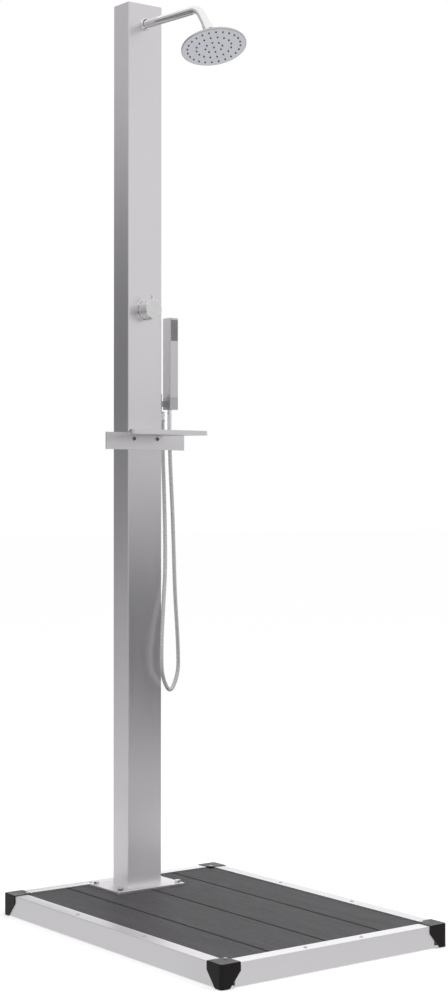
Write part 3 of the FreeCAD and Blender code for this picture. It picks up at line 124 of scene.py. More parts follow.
# How far the cross reaches, as a share of the head's radius, and its floor's size as a share of its rim's.
CROSS_REACH = 0.62
CROSS_FLOOR = 0.55
# The thread's root as a share of the shank's radius, its steps down the shank, and a screw's sides.
THREAD_ROOT = 0.82
THREAD_STEPS = 24
SCREW_SIDES = 24

# A noise pattern runs about between these two, which a colour or a roughness is stretched over.
PATTERN_LOW = 0.3
PATTERN_HIGH = 0.7
# Metallic share of the column's duller foot, and the heights between which it becomes a full metal.
DULL_METAL = 0.5
DULL_FOOT = (0.10, 0.26)


def colour_property(name, description, red, green, blue):
    """A finish's own colour, as linear light."""
    return FloatVectorProperty(
        name=name, description=description, subtype="COLOR", size=3, min=0, max=1, default=(red, green, blue)
    )


def length_property(name, description, metres):
    """A length of a piece, in metres."""
    return FloatProperty(
        name=name, description=description, unit="LENGTH", subtype="DISTANCE", min=0, default=metres,
        precision=5,
    )


class ShowerFinishes(PropertyGroup):
    """Colours of the shower's surfaces."""

    post_steel: colour_property("Post steel", "Brushed stainless steel of the post", 0.85, 0.828, 0.858)
    plate_steel: colour_property("Plate steel", "Bent steel of the shelf", 0.90, 0.883, 0.90)
    rail_aluminium: colour_property("Rails", "Anodised aluminium round the deck", 0.89, 0.873, 0.895)
    deck: colour_property("Deck", "Wood composite boards", 0.076, 0.072, 0.077)
    caps: colour_property("Corner caps", "Moulded black plastic", 0.007, 0.005, 0.006)
    chrome: colour_property("Chrome", "Plated arm, knob and nuts", 0.88, 0.88, 0.89)
    head_face: colour_property("Rain head face", "Satin steel round the nozzles", 0.82, 0.835, 0.89)
    nozzles: colour_property("Nozzles", "Soft nozzles of the rain head", 0.10, 0.10, 0.12)
    hand_steel: colour_property("Hand shower", "Satin steel of the hand shower", 0.73, 0.72, 0.73)
    spray_plate: colour_property("Spray plate", "Jet plate of the hand shower", 0.19, 0.185, 0.195)
    hose: colour_property("Hose", "Spiral wound hose", 0.66, 0.66, 0.67)
    brass: colour_property("Brass", "Water fittings inside the post", 0.72, 0.52, 0.25)
    copper: colour_property("Copper", "Pipes inside the post", 0.78, 0.42, 0.30)
    zinc: colour_property("Zinc", "Plated beam and nuts under the deck", 0.55, 0.56, 0.57)
    bearing: colour_property("Bearing", "Plastic ring of the ball joint", 0.82, 0.82, 0.80)


class ShowerSizes(PropertyGroup):
    """Sizes of the pieces that the construction leaves to this file."""

    hose_pitch: length_property("Hose pitch", "One turn of the hose's winding", 0.0034)
    hose_groove: length_property("Hose groove", "Depth between two turns", 0.0005)
    hose_sides: IntProperty(name="Hose sides", description="Faces round the hose", min=8, max=48, default=20)
    seam_depth: length_property("Seams", "Depth of the seams between the boards", 0.0012)
    nozzle_radius: length_property("Nozzles", "Radius of the soft collar round a nozzle", 0.0022)
    recess_width: length_property("Cross slot", "Width of a cross recess's slots", 0.0011)
    recess_depth: length_property("Recess depth", "Depth of a screw head's recess", 0.0013)


class ShowerStage(PropertyGroup):
    """Camera, lamps and floor."""

    lens: FloatProperty(name="Lens", description="Focal length in mm", min=10, max=300, default=67.3595)
    place: FloatVectorProperty(
        name="Camera", description="Where the camera stands", unit="LENGTH", subtype="XYZ",
        default=(-2.55041, -3.41883, 0.98802),
    )
    heading: FloatProperty(
        name="Heading", description="Turn from +Y towards +X", subtype="ANGLE", default=math.radians(36.9246)
    )
    pitch: FloatProperty(
        name="Pitch", description="Tilt above the horizon", subtype="ANGLE", default=math.radians(0.1031)
    )
    roll: FloatProperty(
        name="Roll", description="Turn about the view", subtype="ANGLE", default=math.radians(0.0367)
    )
    ambient: FloatProperty(name="Ambient", description="Even light from all round", min=0, default=0.72)
    key_power: FloatProperty(name="Key lamp", description="Power of the soft key lamp", min=0, default=60)


# ---------------------------------------------------------------- materials


class Finish:
    """A procedural material on object coordinates, built up by the calls below."""

    def __init__(self, name, metallic, roughness, **constants):
        self.material = bpy.data.materials.new(name)
        self.material.use_nodes = True
        self.tree = self.material.node_tree
        self.surface = self.tree.nodes["Principled BSDF"]
        self.surface.inputs["Metallic"].default_value = metallic
        self.surface.inputs["Roughness"].default_value = roughness
        for name, value in constants.items():
            socket = name.replace("_", " ").title().replace("Ior", "IOR")
            self.surface.inputs[socket].default_value = value
        self.place = self.tree.nodes.new("ShaderNodeTexCoord").outputs["Object"]
        self.normal = None

    def node(self, kind, inputs=None, **settings):
        """A shader node with its settings, and each input either linked or set."""
        made = self.tree.nodes.new(kind)
        for name, value in settings.items():
            setattr(made, name, value)
        for name, value in (inputs or {}).items():
            if isinstance(value, bpy.types.NodeSocket):
                self.tree.links.new(value, made.inputs[name])
            else:
                made.inputs[name].default_value = value
        return made

    def noise(self, stretch, detail=3.0, rough=0.5, distortion=0.0):
        """Cloudy pattern with as many cells to the metre along each axis as stretch says."""
        mapped = self.node("ShaderNodeMapping", {"Vector": self.place, "Scale": stretch})
        clouds = {
            "Vector": mapped.outputs[0], "Scale": 1.0, "Detail": detail, "Roughness": rough,
            "Distortion": distortion,
        }
        return self.node("ShaderNodeTexNoise", clouds).outputs["Fac"]

    def mixed(self, first, second, share):
        """Two patterns laid over each other, by the second's share."""
        blend = self.node("ShaderNodeMix", {"Factor": share, "A": first, "B": second}, data_type="FLOAT")
        return blend.outputs["Result"]

    def spread(self, pattern, low, high, to_low=0.0, to_high=1.0):
        """The pattern from low to high, spread over another range."""
        ends = {"From Min": low, "From Max": high, "To Min": to_low, "To Max": to_high}
        return self.node("ShaderNodeMapRange", {"Value": pattern, **ends}).outputs["Result"]

    def colour(self, pattern, dark, light):
        """The base colour runs from dark to light over the pattern."""
        ramp = self.node("ShaderNodeValToRGB", {"Fac": pattern})
        ends = ((PATTERN_LOW, dark), (PATTERN_HIGH, light))
        for stop, (position, end) in zip(ramp.color_ramp.elements, ends):
            stop.position = position
            stop.color = (*end, 1)
        self.tree.links.new(ramp.outputs["Color"], self.surface.inputs["Base Color"])

    def roughness(self, pattern, low, high):
        """The roughness runs from low to high over the pattern."""
        spread = self.spread(pattern, PATTERN_LOW, PATTERN_HIGH, low, high)
        self.tree.links.new(spread, self.surface.inputs["Roughness"])

    def relief(self, pattern, depth):
        """Raises the surface by depth, in metres, over the relief that is there already."""
        inputs = {"Height": pattern, "Distance": depth, "Strength": 1.0}
        if self.normal:
            inputs["Normal"] = self.normal
        self.normal = self.node("ShaderNodeBump", inputs).outputs["Normal"]
        self.tree.links.new(self.normal, self.surface.inputs["Normal"])


def shade(colour, factor):
    """A colour made darker or lighter."""
    return tuple(min(1.0, channel * factor) for channel in colour)


def along(axis, fine, coarse):
    """Cells to the metre: fine across the axis and coarse along it."""
    return tuple(coarse if name == axis else fine for name in "XYZ")


def brushed(name, colour, axis, roughness, contrast=0.018, dull_foot=None):
    """Steel or aluminium with fine hairlines along one axis. Below dull_foot's two heights it is duller."""
    finish = Finish(name, 1.0, roughness, anisotropic=0.35)
    lines = finish.noise(along(axis, 1500, 7), detail=2)
    clouds = finish.noise((5, 5, 3), detail=2)
    both = finish.mixed(lines, clouds, 0.35)
    finish.colour(both, shade(colour, 1 - contrast), shade(colour, 1 + contrast))
    finish.roughness(both, roughness - 0.05, roughness + 0.05)
    finish.relief(lines, 0.0000018)
    if dull_foot:
        height = finish.node("ShaderNodeSeparateXYZ", {"Vector": finish.place}).outputs["Z"]
        shine = finish.spread(height, *dull_foot, DULL_METAL, 1.0)
        finish.tree.links.new(shine, finish.surface.inputs["Metallic"])
    return finish.material


def chromed(name, colour, roughness=0.05):
    """Plated and polished, with a faint haze of water marks."""
    finish = Finish(name, 1.0, roughness)
    haze = finish.noise((60, 60, 60), detail=4)
    finish.colour(haze, shade(colour, 0.97), shade(colour, 1.02))
    finish.roughness(haze, roughness * 0.6, roughness * 1.5)
    finish.relief(finish.noise((220, 220, 220), detail=1), 0.0000015)
    return finish.material


def moulded(name, colour, roughness, gloss=0.25):
    """Plastic or rubber with a fine moulded texture."""
    finish = Finish(name, 0.0, roughness, specular_ior_level=gloss)
    texture = finish.noise((900, 900, 900), detail=2)
    clouds = finish.noise((35, 35, 35), detail=3)
    finish.colour(finish.mixed(texture, clouds, 0.6), shade(colour, 0.85), shade(colour, 1.15))
    finish.roughness(clouds, roughness - 0.06, roughness + 0.06)
    finish.relief(texture, 0.00002)
    return finish.material


def cast_metal(name, colour, roughness):
    """Machined or drawn fittings that are left as made."""
    finish = Finish(name, 1.0, roughness)
    marks = finish.noise((300, 300, 300), detail=4)
    finish.colour(marks, shade(colour, 0.88), shade(colour, 1.08))
    finish.roughness(marks, roughness - 0.08, roughness + 0.08)
    finish.relief(marks, 0.00002)
    return finish.material


def deck_composite(name, colour):
    """Dark boards with an embossed grain that runs along them, fine pores and a dull sheen."""
    finish = Finish(name, 0.0, 0.62, specular_ior_level=0.3)
    grain = finish.noise((260, 16, 260), detail=5, rough=0.62, distortion=0.6)
    pores = finish.noise((900, 90, 900), detail=3)
    figure = finish.noise((34, 3.0, 34), detail=4, distortion=1.4)
    fleck = finish.spread(pores, 0.45, 0.75)
    both = finish.mixed(grain, figure, 0.4)
    finish.colour(finish.mixed(both, fleck, 0.25), shade(colour, 0.62), shade(colour, 1.42))
    finish.roughness(grain, 0.5, 0.72)
    finish.relief(both, 0.0007)
    finish.relief(fleck, 0.00018)
    return finish.material


def use(material, *names):
    """Gives construction nodes their finish."""
    for name in names:
        for slot in NODES[name].material_slots:
            slot.material = material


# ---------------------------------------------------------------- mesh helpers


def new_piece(name, made, body, material, replaced=()):
    """A finished piece: its bmesh as an object at the origin that rides on a body."""
    mesh = bpy.data.meshes.new(name)
    made.to_mesh(mesh)
    made.free()
    piece = bpy.data.objects.new(name, mesh)
    bpy.context.scene.collection.objects.link(piece)
    mesh.materials.append(material)
    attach(piece, body)
    if replaced:
        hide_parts(*replaced)


def joined_mesh(node):
    """A node's mesh with the seams between its faces closed."""
    work = bmesh.new()
    work.from_mesh(NODES[node].data)
    bmesh.ops.remove_doubles(work, verts=work.verts, dist=SAME_CORNER)
    return work


def separate_solids(work):
    """The corners of each solid that hangs together in a bmesh."""
    left = set(work.verts)
    while left:
        solid, edge = set(), [left.pop()]
        while edge:
            corner = edge.pop()
            solid.add(corner)
            found = {link.other_vert(corner) for link in corner.link_edges} & left
            edge += found
            left -= found
        yield solid


def solid_boxes(node):
    """Lowest and highest corner of each separate solid of a node, in a steady order."""
    work = joined_mesh(node)
    boxes = []
    for solid in separate_solids(work):
        places = [corner.co for corner in solid]
        boxes.append(tuple(
            Vector(limit(place[i] for place in places) for i in range(3)) for limit in (min, max)
        ))
    work.free()
    return sorted(boxes, key=lambda box: tuple(round(value, 5) for value in box[0]))


def placed_copies(template, places):
    """One bmesh with a copy of the template at each place. The template is used up."""
    mesh = bpy.data.meshes.new("work")
    template.to_mesh(mesh)
    template.free()
    made = bmesh.new()
    for place in places:
        before = len(made.verts)
        made.from_mesh(mesh)
        made.verts.ensure_lookup_table()
        bmesh.ops.transform(made, matrix=place, verts=made.verts[before:])
    bpy.data.meshes.remove(mesh)
    return made


def turned(profile, sides):
    """A closed body turned about Z, from (radius, height) corners that start and end on it."""
    made = bmesh.new()
    corners = [made.verts.new((radius, 0, height)) for radius, height in profile]
    edges = [made.edges.new(pair) for pair in zip(corners, corners[1:])]
    bmesh.ops.spin(
        made, geom=corners + edges, cent=(0, 0, 0), axis=(0, 0, 1), angle=math.tau, steps=sides,
        use_merge=True,
    )
    bmesh.ops.remove_doubles(made, verts=made.verts, dist=1e-7)
    bmesh.ops.recalc_face_normals(made, faces=made.faces)
    return made


def apply_modifiers(piece):
    """Bakes a piece's modifiers into its mesh."""
    bpy.context.view_layer.update()
    graph = bpy.context.evaluated_depsgraph_get()
    mesh = bpy.data.meshes.new_from_object(piece.evaluated_get(graph))
    piece.modifiers.clear()
    piece.data = mesh
    return mesh


def carved(body, cutter):
    """The body with the cutter's shape taken out, as a bmesh. Both are used up."""
    objects = []
    for source in (body, cutter):
        mesh = bpy.data.meshes.new("work")
        source.to_mesh(mesh)
        source.free()
        objects.append(bpy.data.objects.new("work", mesh))
        bpy.context.scene.collection.objects.link(objects[-1])
    cut = objects[0].modifiers.new("cut", "BOOLEAN")
    cut.object = objects[1]
    cut.operation = "DIFFERENCE"
    cut.solver = "EXACT"
    mesh = apply_modifiers(objects[0])
    result = bmesh.new()
    result.from_mesh(mesh)
    for used in objects:
        bpy.data.objects.remove(used)
    return result


def cross_cutter(width, reach, depth, top):
    """A cross-shaped slot that narrows towards its floor."""
    made = bmesh.new()
    half = width / 2
    plan = []
    for quarter in range(4):
        turn = Matrix.Rotation(quarter * math.pi / 2, 2)
        plan += [turn @ Vector(corner) for corner in ((reach, -half), (reach, half), (half, half))]
    floor, roof = (
        [made.verts.new((x * share, y * share, height)) for x, y in plan]
        for share, height in ((CROSS_FLOOR, top - depth), (1.0, top + depth))
    )
    made.faces.new(floor)
    made.faces.new(roof)
    for step in range(len(plan)):
        made.faces.new((floor[step], floor[step - 1], roof[step - 1], roof[step]))
    bmesh.ops.recalc_face_normals(made, faces=made.faces)
    return made


def hexagon_cutter(width, depth, top):
    """A socket's six sides, as wide across as its key."""
    made = bmesh.new()
    bmesh.ops.create_cone(
        made, cap_ends=True, segments=6, radius1=width / math.sqrt(3), radius2=width / math.sqrt(3),
        depth=2 * depth, matrix=Matrix.Translation((0, 0, top)),
    )
    return made


def screw(head_radius, head_height, shank_radius, length, cutter):
    """A screw along +Z with its head's seat at 0: domed head, recess, threaded shank."""
    crown = [
        (head_radius * math.cos(angle), head_height * (0.35 + 0.65 * math.sin(angle)))
        for angle in (step * math.pi / 12 for step in range(7))
    ]
    crown[-1] = (0, head_height)
    thread = [
        (shank_radius * (1 if step % 2 else THREAD_ROOT), -length * step / THREAD_STEPS)
        for step in range(THREAD_STEPS - 1, 0, -1)
    ]
    profile = [(0, -length), (shank_radius * 0.5, -length), *thread, (shank_radius, 0), (head_radius, 0)]
    return carved(turned(profile + crown, SCREW_SIDES), cutter)


def pointing(direction):
    """Turns +Z to a direction."""
    return Vector(direction).to_track_quat("Z", "Y").to_matrix().to_4x4()


def many_screws(node, direction, head_height, template):
    """A copy of the template on each of a node's screws, with its seat where theirs is."""
    way = Vector(direction)
    places = []
    for low, high in solid_boxes(node):
        top = (low + high) / 2 + way * (abs((high - low).dot(way)) / 2)
        places.append(Matrix.Translation(top - way * head_height) @ pointing(direction))
    return placed_copies(template, places)


def seam_shadow_strips(depth):
    """Dark strips that close the seams of the deck at a depth below its top: painted shadow, standing where
    the gaps between the boards hold only shade.
    """
    made = bmesh.new()
    boards = [[Vector(NODES[name].bound_box[corner]) for corner in (0, 6)] for name in DECK_BOARDS]
    boards.sort(key=lambda box: box[0].x)
    for (low, high), (next_low, _) in zip(boards, boards[1:]):
        foot = Vector((high.x, low.y, low.z))
        top = Vector((next_low.x, high.y, high.z - depth))
        size = Matrix.Diagonal((*(top - foot), 1))
        bmesh.ops.create_cube(made, size=1, matrix=Matrix.Translation((foot + top) / 2) @ size)
    return made


def nozzle_collars(radius):
    """A soft domed collar over each nozzle of the rain head."""
    head = Matrix.Translation(HEAD_BALL)
    for angle, axis in HEAD_TURN:
        head @= Matrix.Rotation(math.radians(angle), 4, axis)
    places = []
    for ring, count in NOZZLE_RINGS:
        for step in range(count):
            around = math.tau * step / count
            spot = (ring * math.cos(around), ring * math.sin(around), -FACE_BELOW_BALL)
            places.append(head @ Matrix.Translation(spot))
    rise = NOZZLE_RISE
    profile = (
        (0, -rise), (radius * 0.5, -rise), (radius * 0.85, -rise * 0.8), (radius, -rise * 0.2),
        (radius, NOZZLE_ROOT), (0, NOZZLE_ROOT),
    )
    return placed_copies(turned(profile, NOZZLE_SIDES), places)


# ---------------------------------------------------------------- operators


class SHOWER_OT_stage(Operator):
    """Camera, pale floor, soft lamps and the graded cards that metal reflects"""

    bl_idname = "shower.stage"
    bl_label = "Studio"

    def execute(self, context):
        stage = context.scene.shower_stage
        add_camera(context, stage)
        add_world(context, stage)
        add_floor(context)
        add_lamps(context, stage)
        add_cards(context)
        context.scene.view_settings.view_transform = "Standard"
        return {"FINISHED"}


def add_camera(context, stage):
    """The camera, with the place, turn and lens that the studio's settings say."""
    data = bpy.data.cameras.new("camera")
    data.lens = stage.lens
    data.sensor_width = 36
    data.sensor_fit = "AUTO"
    data.clip_start = 0.1
    data.clip_end = 100
    camera = bpy.data.objects.new("camera", data)
    context.scene.collection.objects.link(camera)
    turn = Euler((math.pi / 2 + stage.pitch, -stage.roll, -stage.heading)).to_matrix().to_4x4()
    camera.matrix_world = Matrix.Translation(stage.place) @ turn
    context.scene.camera = camera


def add_world(context, stage):
    """White for the camera and for reflections, an even softer light for all else."""
    world = bpy.data.worlds.new("studio")
    world.use_nodes = True
    tree = world.node_tree
    tree.nodes.clear()
    rays = tree.nodes.new("ShaderNodeLightPath")
    seen = add_up(tree, rays.outputs["Is Camera Ray"], rays.outputs["Is Glossy Ray"])
    seen = add_up(tree, seen, rays.outputs["Is Transmission Ray"])
    ambient, white, mix, out = (
        tree.nodes.new(kind)
        for kind in (
            "ShaderNodeBackground", "ShaderNodeBackground", "ShaderNodeMixShader", "ShaderNodeOutputWorld",
        )
    )
    ambient.inputs["Strength"].default_value = stage.ambient
    ambient.inputs["Color"].default_value = (1, 1, 1, 1)
    white.inputs["Color"].default_value = (1, 1, 1, 1)
    tree.links.new(seen, mix.inputs[0])
    tree.links.new(ambient.outputs[0], mix.inputs[1])
    tree.links.new(white.outputs[0], mix.inputs[2])
    tree.links.new(mix.outputs[0], out.inputs[0])
    context.scene.world = world


def add_up(tree, first, second):
    """Two shares added up, to one at most."""
    total = tree.nodes.new("ShaderNodeMath")
    total.operation = "ADD"
    total.use_clamp = True
    tree.links.new(first, total.inputs[0])
    tree.links.new(second, total.inputs[1])
    return total.outputs[0]


# The floor: how far it lies below the tray and reaches out, how much it glows for the camera, and the grey
# that metal mirrors.
FLOOR_DROP = 0.001
FLOOR_REACH = 40
FLOOR_GLOW = 0.34
FLOOR_GREY = 0.66


def add_floor(context):
    """A white floor that keeps the shadow, and that metal mirrors as an even grey."""
    made = bmesh.new()
    below = Matrix.Translation((0, 0, -FLOOR_DROP))
    bmesh.ops.create_grid(made, x_segments=1, y_segments=1, size=FLOOR_REACH, matrix=below)
    floor = stage_piece(context, "floor", made)
    material = bpy.data.materials.new("floor_white")
    material.use_nodes = True
    tree = material.node_tree
    surface = tree.nodes["Principled BSDF"]
    surface.inputs["Base Color"].default_value = (0.9, 0.9, 0.9, 1)
    surface.inputs["Roughness"].default_value = 0.9
    surface.inputs["Specular IOR Level"].default_value = 0.0
    rays, lift, glow, lit, mirrored, seen = (
        tree.nodes.new(kind)
        for kind in (
            "ShaderNodeLightPath", "ShaderNodeMath", "ShaderNodeEmission", "ShaderNodeAddShader",
            "ShaderNodeEmission", "ShaderNodeMixShader",
        )
    )
    lift.operation = "MULTIPLY"
    lift.inputs[1].default_value = FLOOR_GLOW
    mirrored.inputs["Strength"].default_value = FLOOR_GREY
    tree.links.new(rays.outputs["Is Camera Ray"], lift.inputs[0])
    tree.links.new(lift.outputs[0], glow.inputs["Strength"])
    tree.links.new(surface.outputs[0], lit.inputs[0])
    tree.links.new(glow.outputs[0], lit.inputs[1])
    tree.links.new(rays.outputs["Is Glossy Ray"], seen.inputs[0])
    tree.links.new(lit.outputs[0], seen.inputs[1])
    tree.links.new(mirrored.outputs[0], seen.inputs[2])
    tree.links.new(seen.outputs[0], tree.nodes["Material Output"].inputs["Surface"])
    floor.data.materials.append(material)


def stage_piece(context, name, made):
    """A piece of the studio, which is no part of the shower."""
    mesh = bpy.data.meshes.new(name)
    made.to_mesh(mesh)
    made.free()
    piece = bpy.data.objects.new(name, mesh)
    context.scene.collection.objects.link(piece)
    piece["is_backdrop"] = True
    return piece


def add_lamps(context, stage):
    """Two soft square lamps that aim at the middle of the shower and that metal does not show."""
    middle = Vector((0, 0, 1.0))
    for name, place, size, power in (
        ("key", (1.6, -3.2, 3.4), 2.4, stage.key_power),
        ("side", (-3.0, 0.4, 2.8), 2.2, stage.key_power * 0.35),
    ):
        data = bpy.data.lights.new(name, "AREA")
        data.size = size
        data.energy = power
        lamp = bpy.data.objects.new(name, data)
        lamp.visible_glossy = False
        context.scene.collection.objects.link(lamp)
        aim = (middle - Vector(place)).to_track_quat("-Z", "Y").to_matrix().to_4x4()
        lamp.matrix_world = Matrix.Translation(place) @ aim


# Cards that only reflections see, with a grey for each height. The column's front mirrors the first, its left
# side the second, the rounded edge between them the third, and the arm's underside the last.
FRONT_CARD = (
    (0.00, 0.24), (0.16, 0.03), (0.36, 0.01), (0.58, 0.06), (0.82, 0.36), (1.10, 0.61), (1.40, 0.75),
    (4.00, 0.70),
)
BACK_CARD = (
    (0.00, 0.53), (0.20, 0.46), (0.60, 0.36), (1.00, 0.28), (1.45, 0.17), (1.85, 0.17), (2.25, 0.32),
    (2.60, 0.52), (4.00, 0.52),
)
EDGE_CARD = (
    (0.00, 0.40), (0.20, 0.30), (0.35, 0.22), (0.60, 0.28), (0.95, 0.43), (1.30, 0.55), (4.00, 0.62),
)
LOW_CARD = ((0.75, 0.09), (1.50, 0.09))
# Where the column stands on Y, which the cards face.
POST_MIDDLE = 0.326
# Name, place on X and Y, width and greys of each card.
CARDS = (
    ("card_front", (1.80, -2.11), 4.4, FRONT_CARD),
    ("card_back", (-1.80, 2.76), 4.4, BACK_CARD),
    ("card_edge", (-2.56, -1.60), 7.0, EDGE_CARD),
    ("card_low", (0.05, 1.90), 1.7, LOW_CARD),
)


def add_cards(context):
    """Upright cards round the shower that neither the camera nor soft light sees."""
    for name, (x, y), width, greys in CARDS:
        low, high = greys[0][0], greys[-1][0]
        facing = pointing((-x, POST_MIDDLE - y, 0))
        place = Matrix.Translation((x, y, (low + high) / 2)) @ facing
        size = Matrix.Diagonal((width, high - low, 1, 1))
        made = bmesh.new()
        bmesh.ops.create_grid(made, x_segments=1, y_segments=1, size=0.5, matrix=place @ size)
        card = stage_piece(context, name, made)
        card.data.materials.append(graded_card(name, greys, high))
        card.visible_camera = False
        card.visible_diffuse = False
        card.visible_shadow = False
        card.visible_transmission = False


def graded_card(name, greys, height):
    """A glowing card whose grey changes with the height."""
    material = bpy.data.materials.new(name)
    material.use_nodes = True
    tree = material.node_tree
    tree.nodes.clear()
    place, split, share, ramp, glow, out = (
        tree.nodes.new(kind)
        for kind in (
            "ShaderNodeTexCoord", "ShaderNodeSeparateXYZ", "ShaderNodeMath", "ShaderNodeValToRGB",
            "ShaderNodeEmission", "ShaderNodeOutputMaterial",
        )
    )
    share.operation = "DIVIDE"
    share.inputs[1].default_value = height
    stops = ramp.color_ramp.elements
    while len(stops) < len(greys):
        stops.new(0.5)
    for stop, (level, grey) in zip(stops, greys):
        stop.position = level / height
        stop.color = (grey, grey, grey, 1)
    tree.links.new(place.outputs["Object"], split.inputs[0])
    tree.links.new(split.outputs["Z"], share.inputs[0])
    tree.links.new(share.outputs[0], ramp.inputs["Fac"])
    tree.links.new(ramp.outputs["Color"], glow.inputs["Color"])
    tree.links.new(glow.outputs[0], out.inputs["Surface"])
    return material


class SHOWER_OT_tray(Operator):
    """Deck boards, aluminium rails, corner caps and the frame under the deck"""

    bl_idname = "shower.tray"
    bl_label = "Tray"

    def execute(self, context):
        finishes = context.scene.shower_finishes
        # The rails across the tray are drawn 8% lighter than the rails along it: painted light, for the
        # brighter light on their faces.
        use(brushed("rail_across_painted_lighter", shade(finishes.rail_aluminium, 1.08), "X", 0.4, 0.02), *RAILS_ACROSS)
        use(brushed("rail_along", finishes.rail_aluminium, "Y", 0.4, 0.02), *RAILS_ALONG)
        use(deck_composite("deck_composite", finishes.deck), *DECK_BOARDS)
        # The near-black strips between the boards are painted shadow in the seams.
        seam_shadow_finish = moulded("seam_shade_composite", shade(finishes.deck, 0.25), 0.7, gloss=0.1)
        strips = seam_shadow_strips(context.scene.shower_sizes.seam_depth)
        new_piece("seam_shade_strips", strips, "stand", seam_shadow_finish)
        use(moulded("cap_plastic", finishes.caps, 0.3, gloss=0.22), *CORNER_CAPS)
        use(brushed("mill_aluminium", finishes.zinc, "X", 0.45), "bearer_front", "bearer_back")
        use(cast_metal("zinc_plate", finishes.zinc, 0.45), "post_beam", "anchor_nuts")
        return {"FINISHED"}


class SHOWER_OT_post(Operator):
    """The column with its lid, base plate and anchor bolts"""

    bl_idname = "shower.post"
    bl_label = "Post"

    def execute(self, context):
        finishes = context.scene.shower_finishes
        use(brushed("post_steel", finishes.post_steel, "Z", 0.32, 0.012, dull_foot=DULL_FOOT), "post_tube")
        use(brushed("lid_steel", finishes.post_steel, "X", 0.30), "post_lid")
        use(brushed("plate_steel", shade(finishes.rail_aluminium, 1.03), "X", 0.5, 0.02), "base_plate")
        use(cast_metal("bolt_steel", finishes.rail_aluminium, 0.28), "anchor_bolts", "anchor_washers")
        return {"FINISHED"}


class SHOWER_OT_plumbing(Operator):
    """Fittings and pipes inside the post, and the inlet at its back"""

    bl_idname = "shower.plumbing"
    bl_label = "Plumbing"

    def execute(self, context):
        finishes = context.scene.shower_finishes
        use(
            cast_metal("fitting_brass", finishes.brass, 0.32), "inlet_elbow", "inlet_nut", "valve_body",
            "valve_spool", "valve_ring_nut", "arm_elbow", "outlet_block",
        )
        use(cast_metal("pipe_copper", finishes.copper, 0.28), "supply_pipe", "riser_pipe", "branch_pipe")
        return {"FINISHED"}


class SHOWER_OT_valve(Operator):
    """Turning knob with its lever pin and rosette"""

    bl_idname = "shower.valve"
    bl_label = "Valve knob"

    def execute(self, context):
        chrome = context.scene.shower_finishes.chrome
        # The knob is drawn at 90% of the arm's chrome: painted shade, a darker copy of the same chrome that
        # dims the reflection on its face.
        use(chromed("knob_chrome_painted_dark", shade(chrome, 0.9)), "valve_knob", "lever_pin", "valve_rosette")
        return {"FINISHED"}


class SHOWER_OT_rain_head(Operator):
    """Bent arm, ball joint and rain head with its nozzles"""

    bl_idname = "shower.rain_head"
    bl_label = "Rain head"

    def execute(self, context):
        finishes = context.scene.shower_finishes
        use(chromed("arm_chrome", finishes.chrome), "arm_rosette", "shower_arm", "ball_stud", "head_nut")
        # The head's rim is drawn at 62% of the arm's chrome: painted shade, a darker copy of the same chrome
        # that stands in for the dark reflection along the rim.
        use(chromed("rim_chrome_painted_dark", shade(finishes.chrome, 0.62), 0.1), "head_shell")
        use(moulded("bearing_plastic", finishes.bearing, 0.4), "ball_seat")
        face = Finish("head_face_satin", 1.0, 0.36)
        satin = face.noise((90, 90, 90), detail=3)
        face.colour(satin, shade(finishes.head_face, 0.985), shade(finishes.head_face, 1.015))
        face.roughness(satin, 0.33, 0.39)
        use(face.material, "head_face")
        rubber = moulded("nozzle_rubber", finishes.nozzles, 0.55)
        use(rubber, "head_nozzles")
        collars = nozzle_collars(context.scene.shower_sizes.nozzle_radius)
        new_piece("nozzle_collars", collars, "head", rubber)
        return {"FINISHED"}


class SHOWER_OT_hand_shower(Operator):
    """Stick hand shower, its holder, outlet elbow and nuts"""

    bl_idname = "shower.hand_shower"
    bl_label = "Hand shower"

    def execute(self, context):
        finishes = context.scene.shower_finishes
        use(brushed("hand_steel", finishes.hand_steel, "Z", 0.33), "hand_body")
        use(brushed("holder_steel", shade(finishes.hand_steel, 0.88), "Z", 0.45), "hand_holder")
        use(moulded("spray_plate_plastic", finishes.spray_plate, 0.4), "hand_spray_plate")
        use(chromed("nut_chrome", finishes.chrome), "outlet_elbow", "outlet_hose_nut", "hand_hose_nut")
        return {"FINISHED"}


class SHOWER_OT_shelf(Operator):
    """Bent steel shelf on the post's front"""

    bl_idname = "shower.shelf"
    bl_label = "Shelf"

    def execute(self, context):
        use(brushed("shelf_steel", context.scene.shower_finishes.plate_steel, "X", 0.33), "shelf")
        return {"FINISHED"}


class SHOWER_OT_screws(Operator):
    """Cross-recessed screws of rails, caps and holder, and the shelf's socket screws"""

    bl_idname = "shower.screws"
    bl_label = "Screws"

    def execute(self, context):
        sizes = context.scene.shower_sizes
        metal = context.scene.shower_finishes.rail_aluminium
        steel = cast_metal("screw_steel", shade(metal, 0.8), 0.3)
        for node, direction in (
            ("rail_screws", (0, 0, 1)), ("cap_screws", (0, 0, 1)), ("holder_screws", (1, 0, 0)),
        ):
            radius, height, _ = CROSS_SCREW
            cutter = cross_cutter(sizes.recess_width, radius * CROSS_REACH, sizes.recess_depth, height)
            self.add(node, direction, CROSS_SCREW, cutter, steel)
        # The shelf's socket screws are drawn near black, at 27% of the rails' metal: painted shade that
        # stands in for the shade in their sockets.
        dark = cast_metal("socket_screw_painted_dark", shade(metal, 0.27), 0.3)
        cutter = hexagon_cutter(SOCKET_WIDTH, SOCKET_DEPTH, SOCKET_SCREW[1])
        self.add("shelf_screws", (0, -1, 0), SOCKET_SCREW, cutter, dark)
        return {"FINISHED"}

    def add(self, node, direction, sizes, cutter, material):
        """Finished screws in the place of a node's plain ones, of the same length."""
        head_radius, head_height, shank_radius = sizes
        low, high = solid_boxes(node)[0]
        length = abs((high - low).dot(Vector(direction))) - head_height
        template = screw(head_radius, head_height, shank_radius, length, cutter)
        made = many_screws(node, direction, head_height, template)
        new_piece(node + "_detail", made, "stand", material, [node])


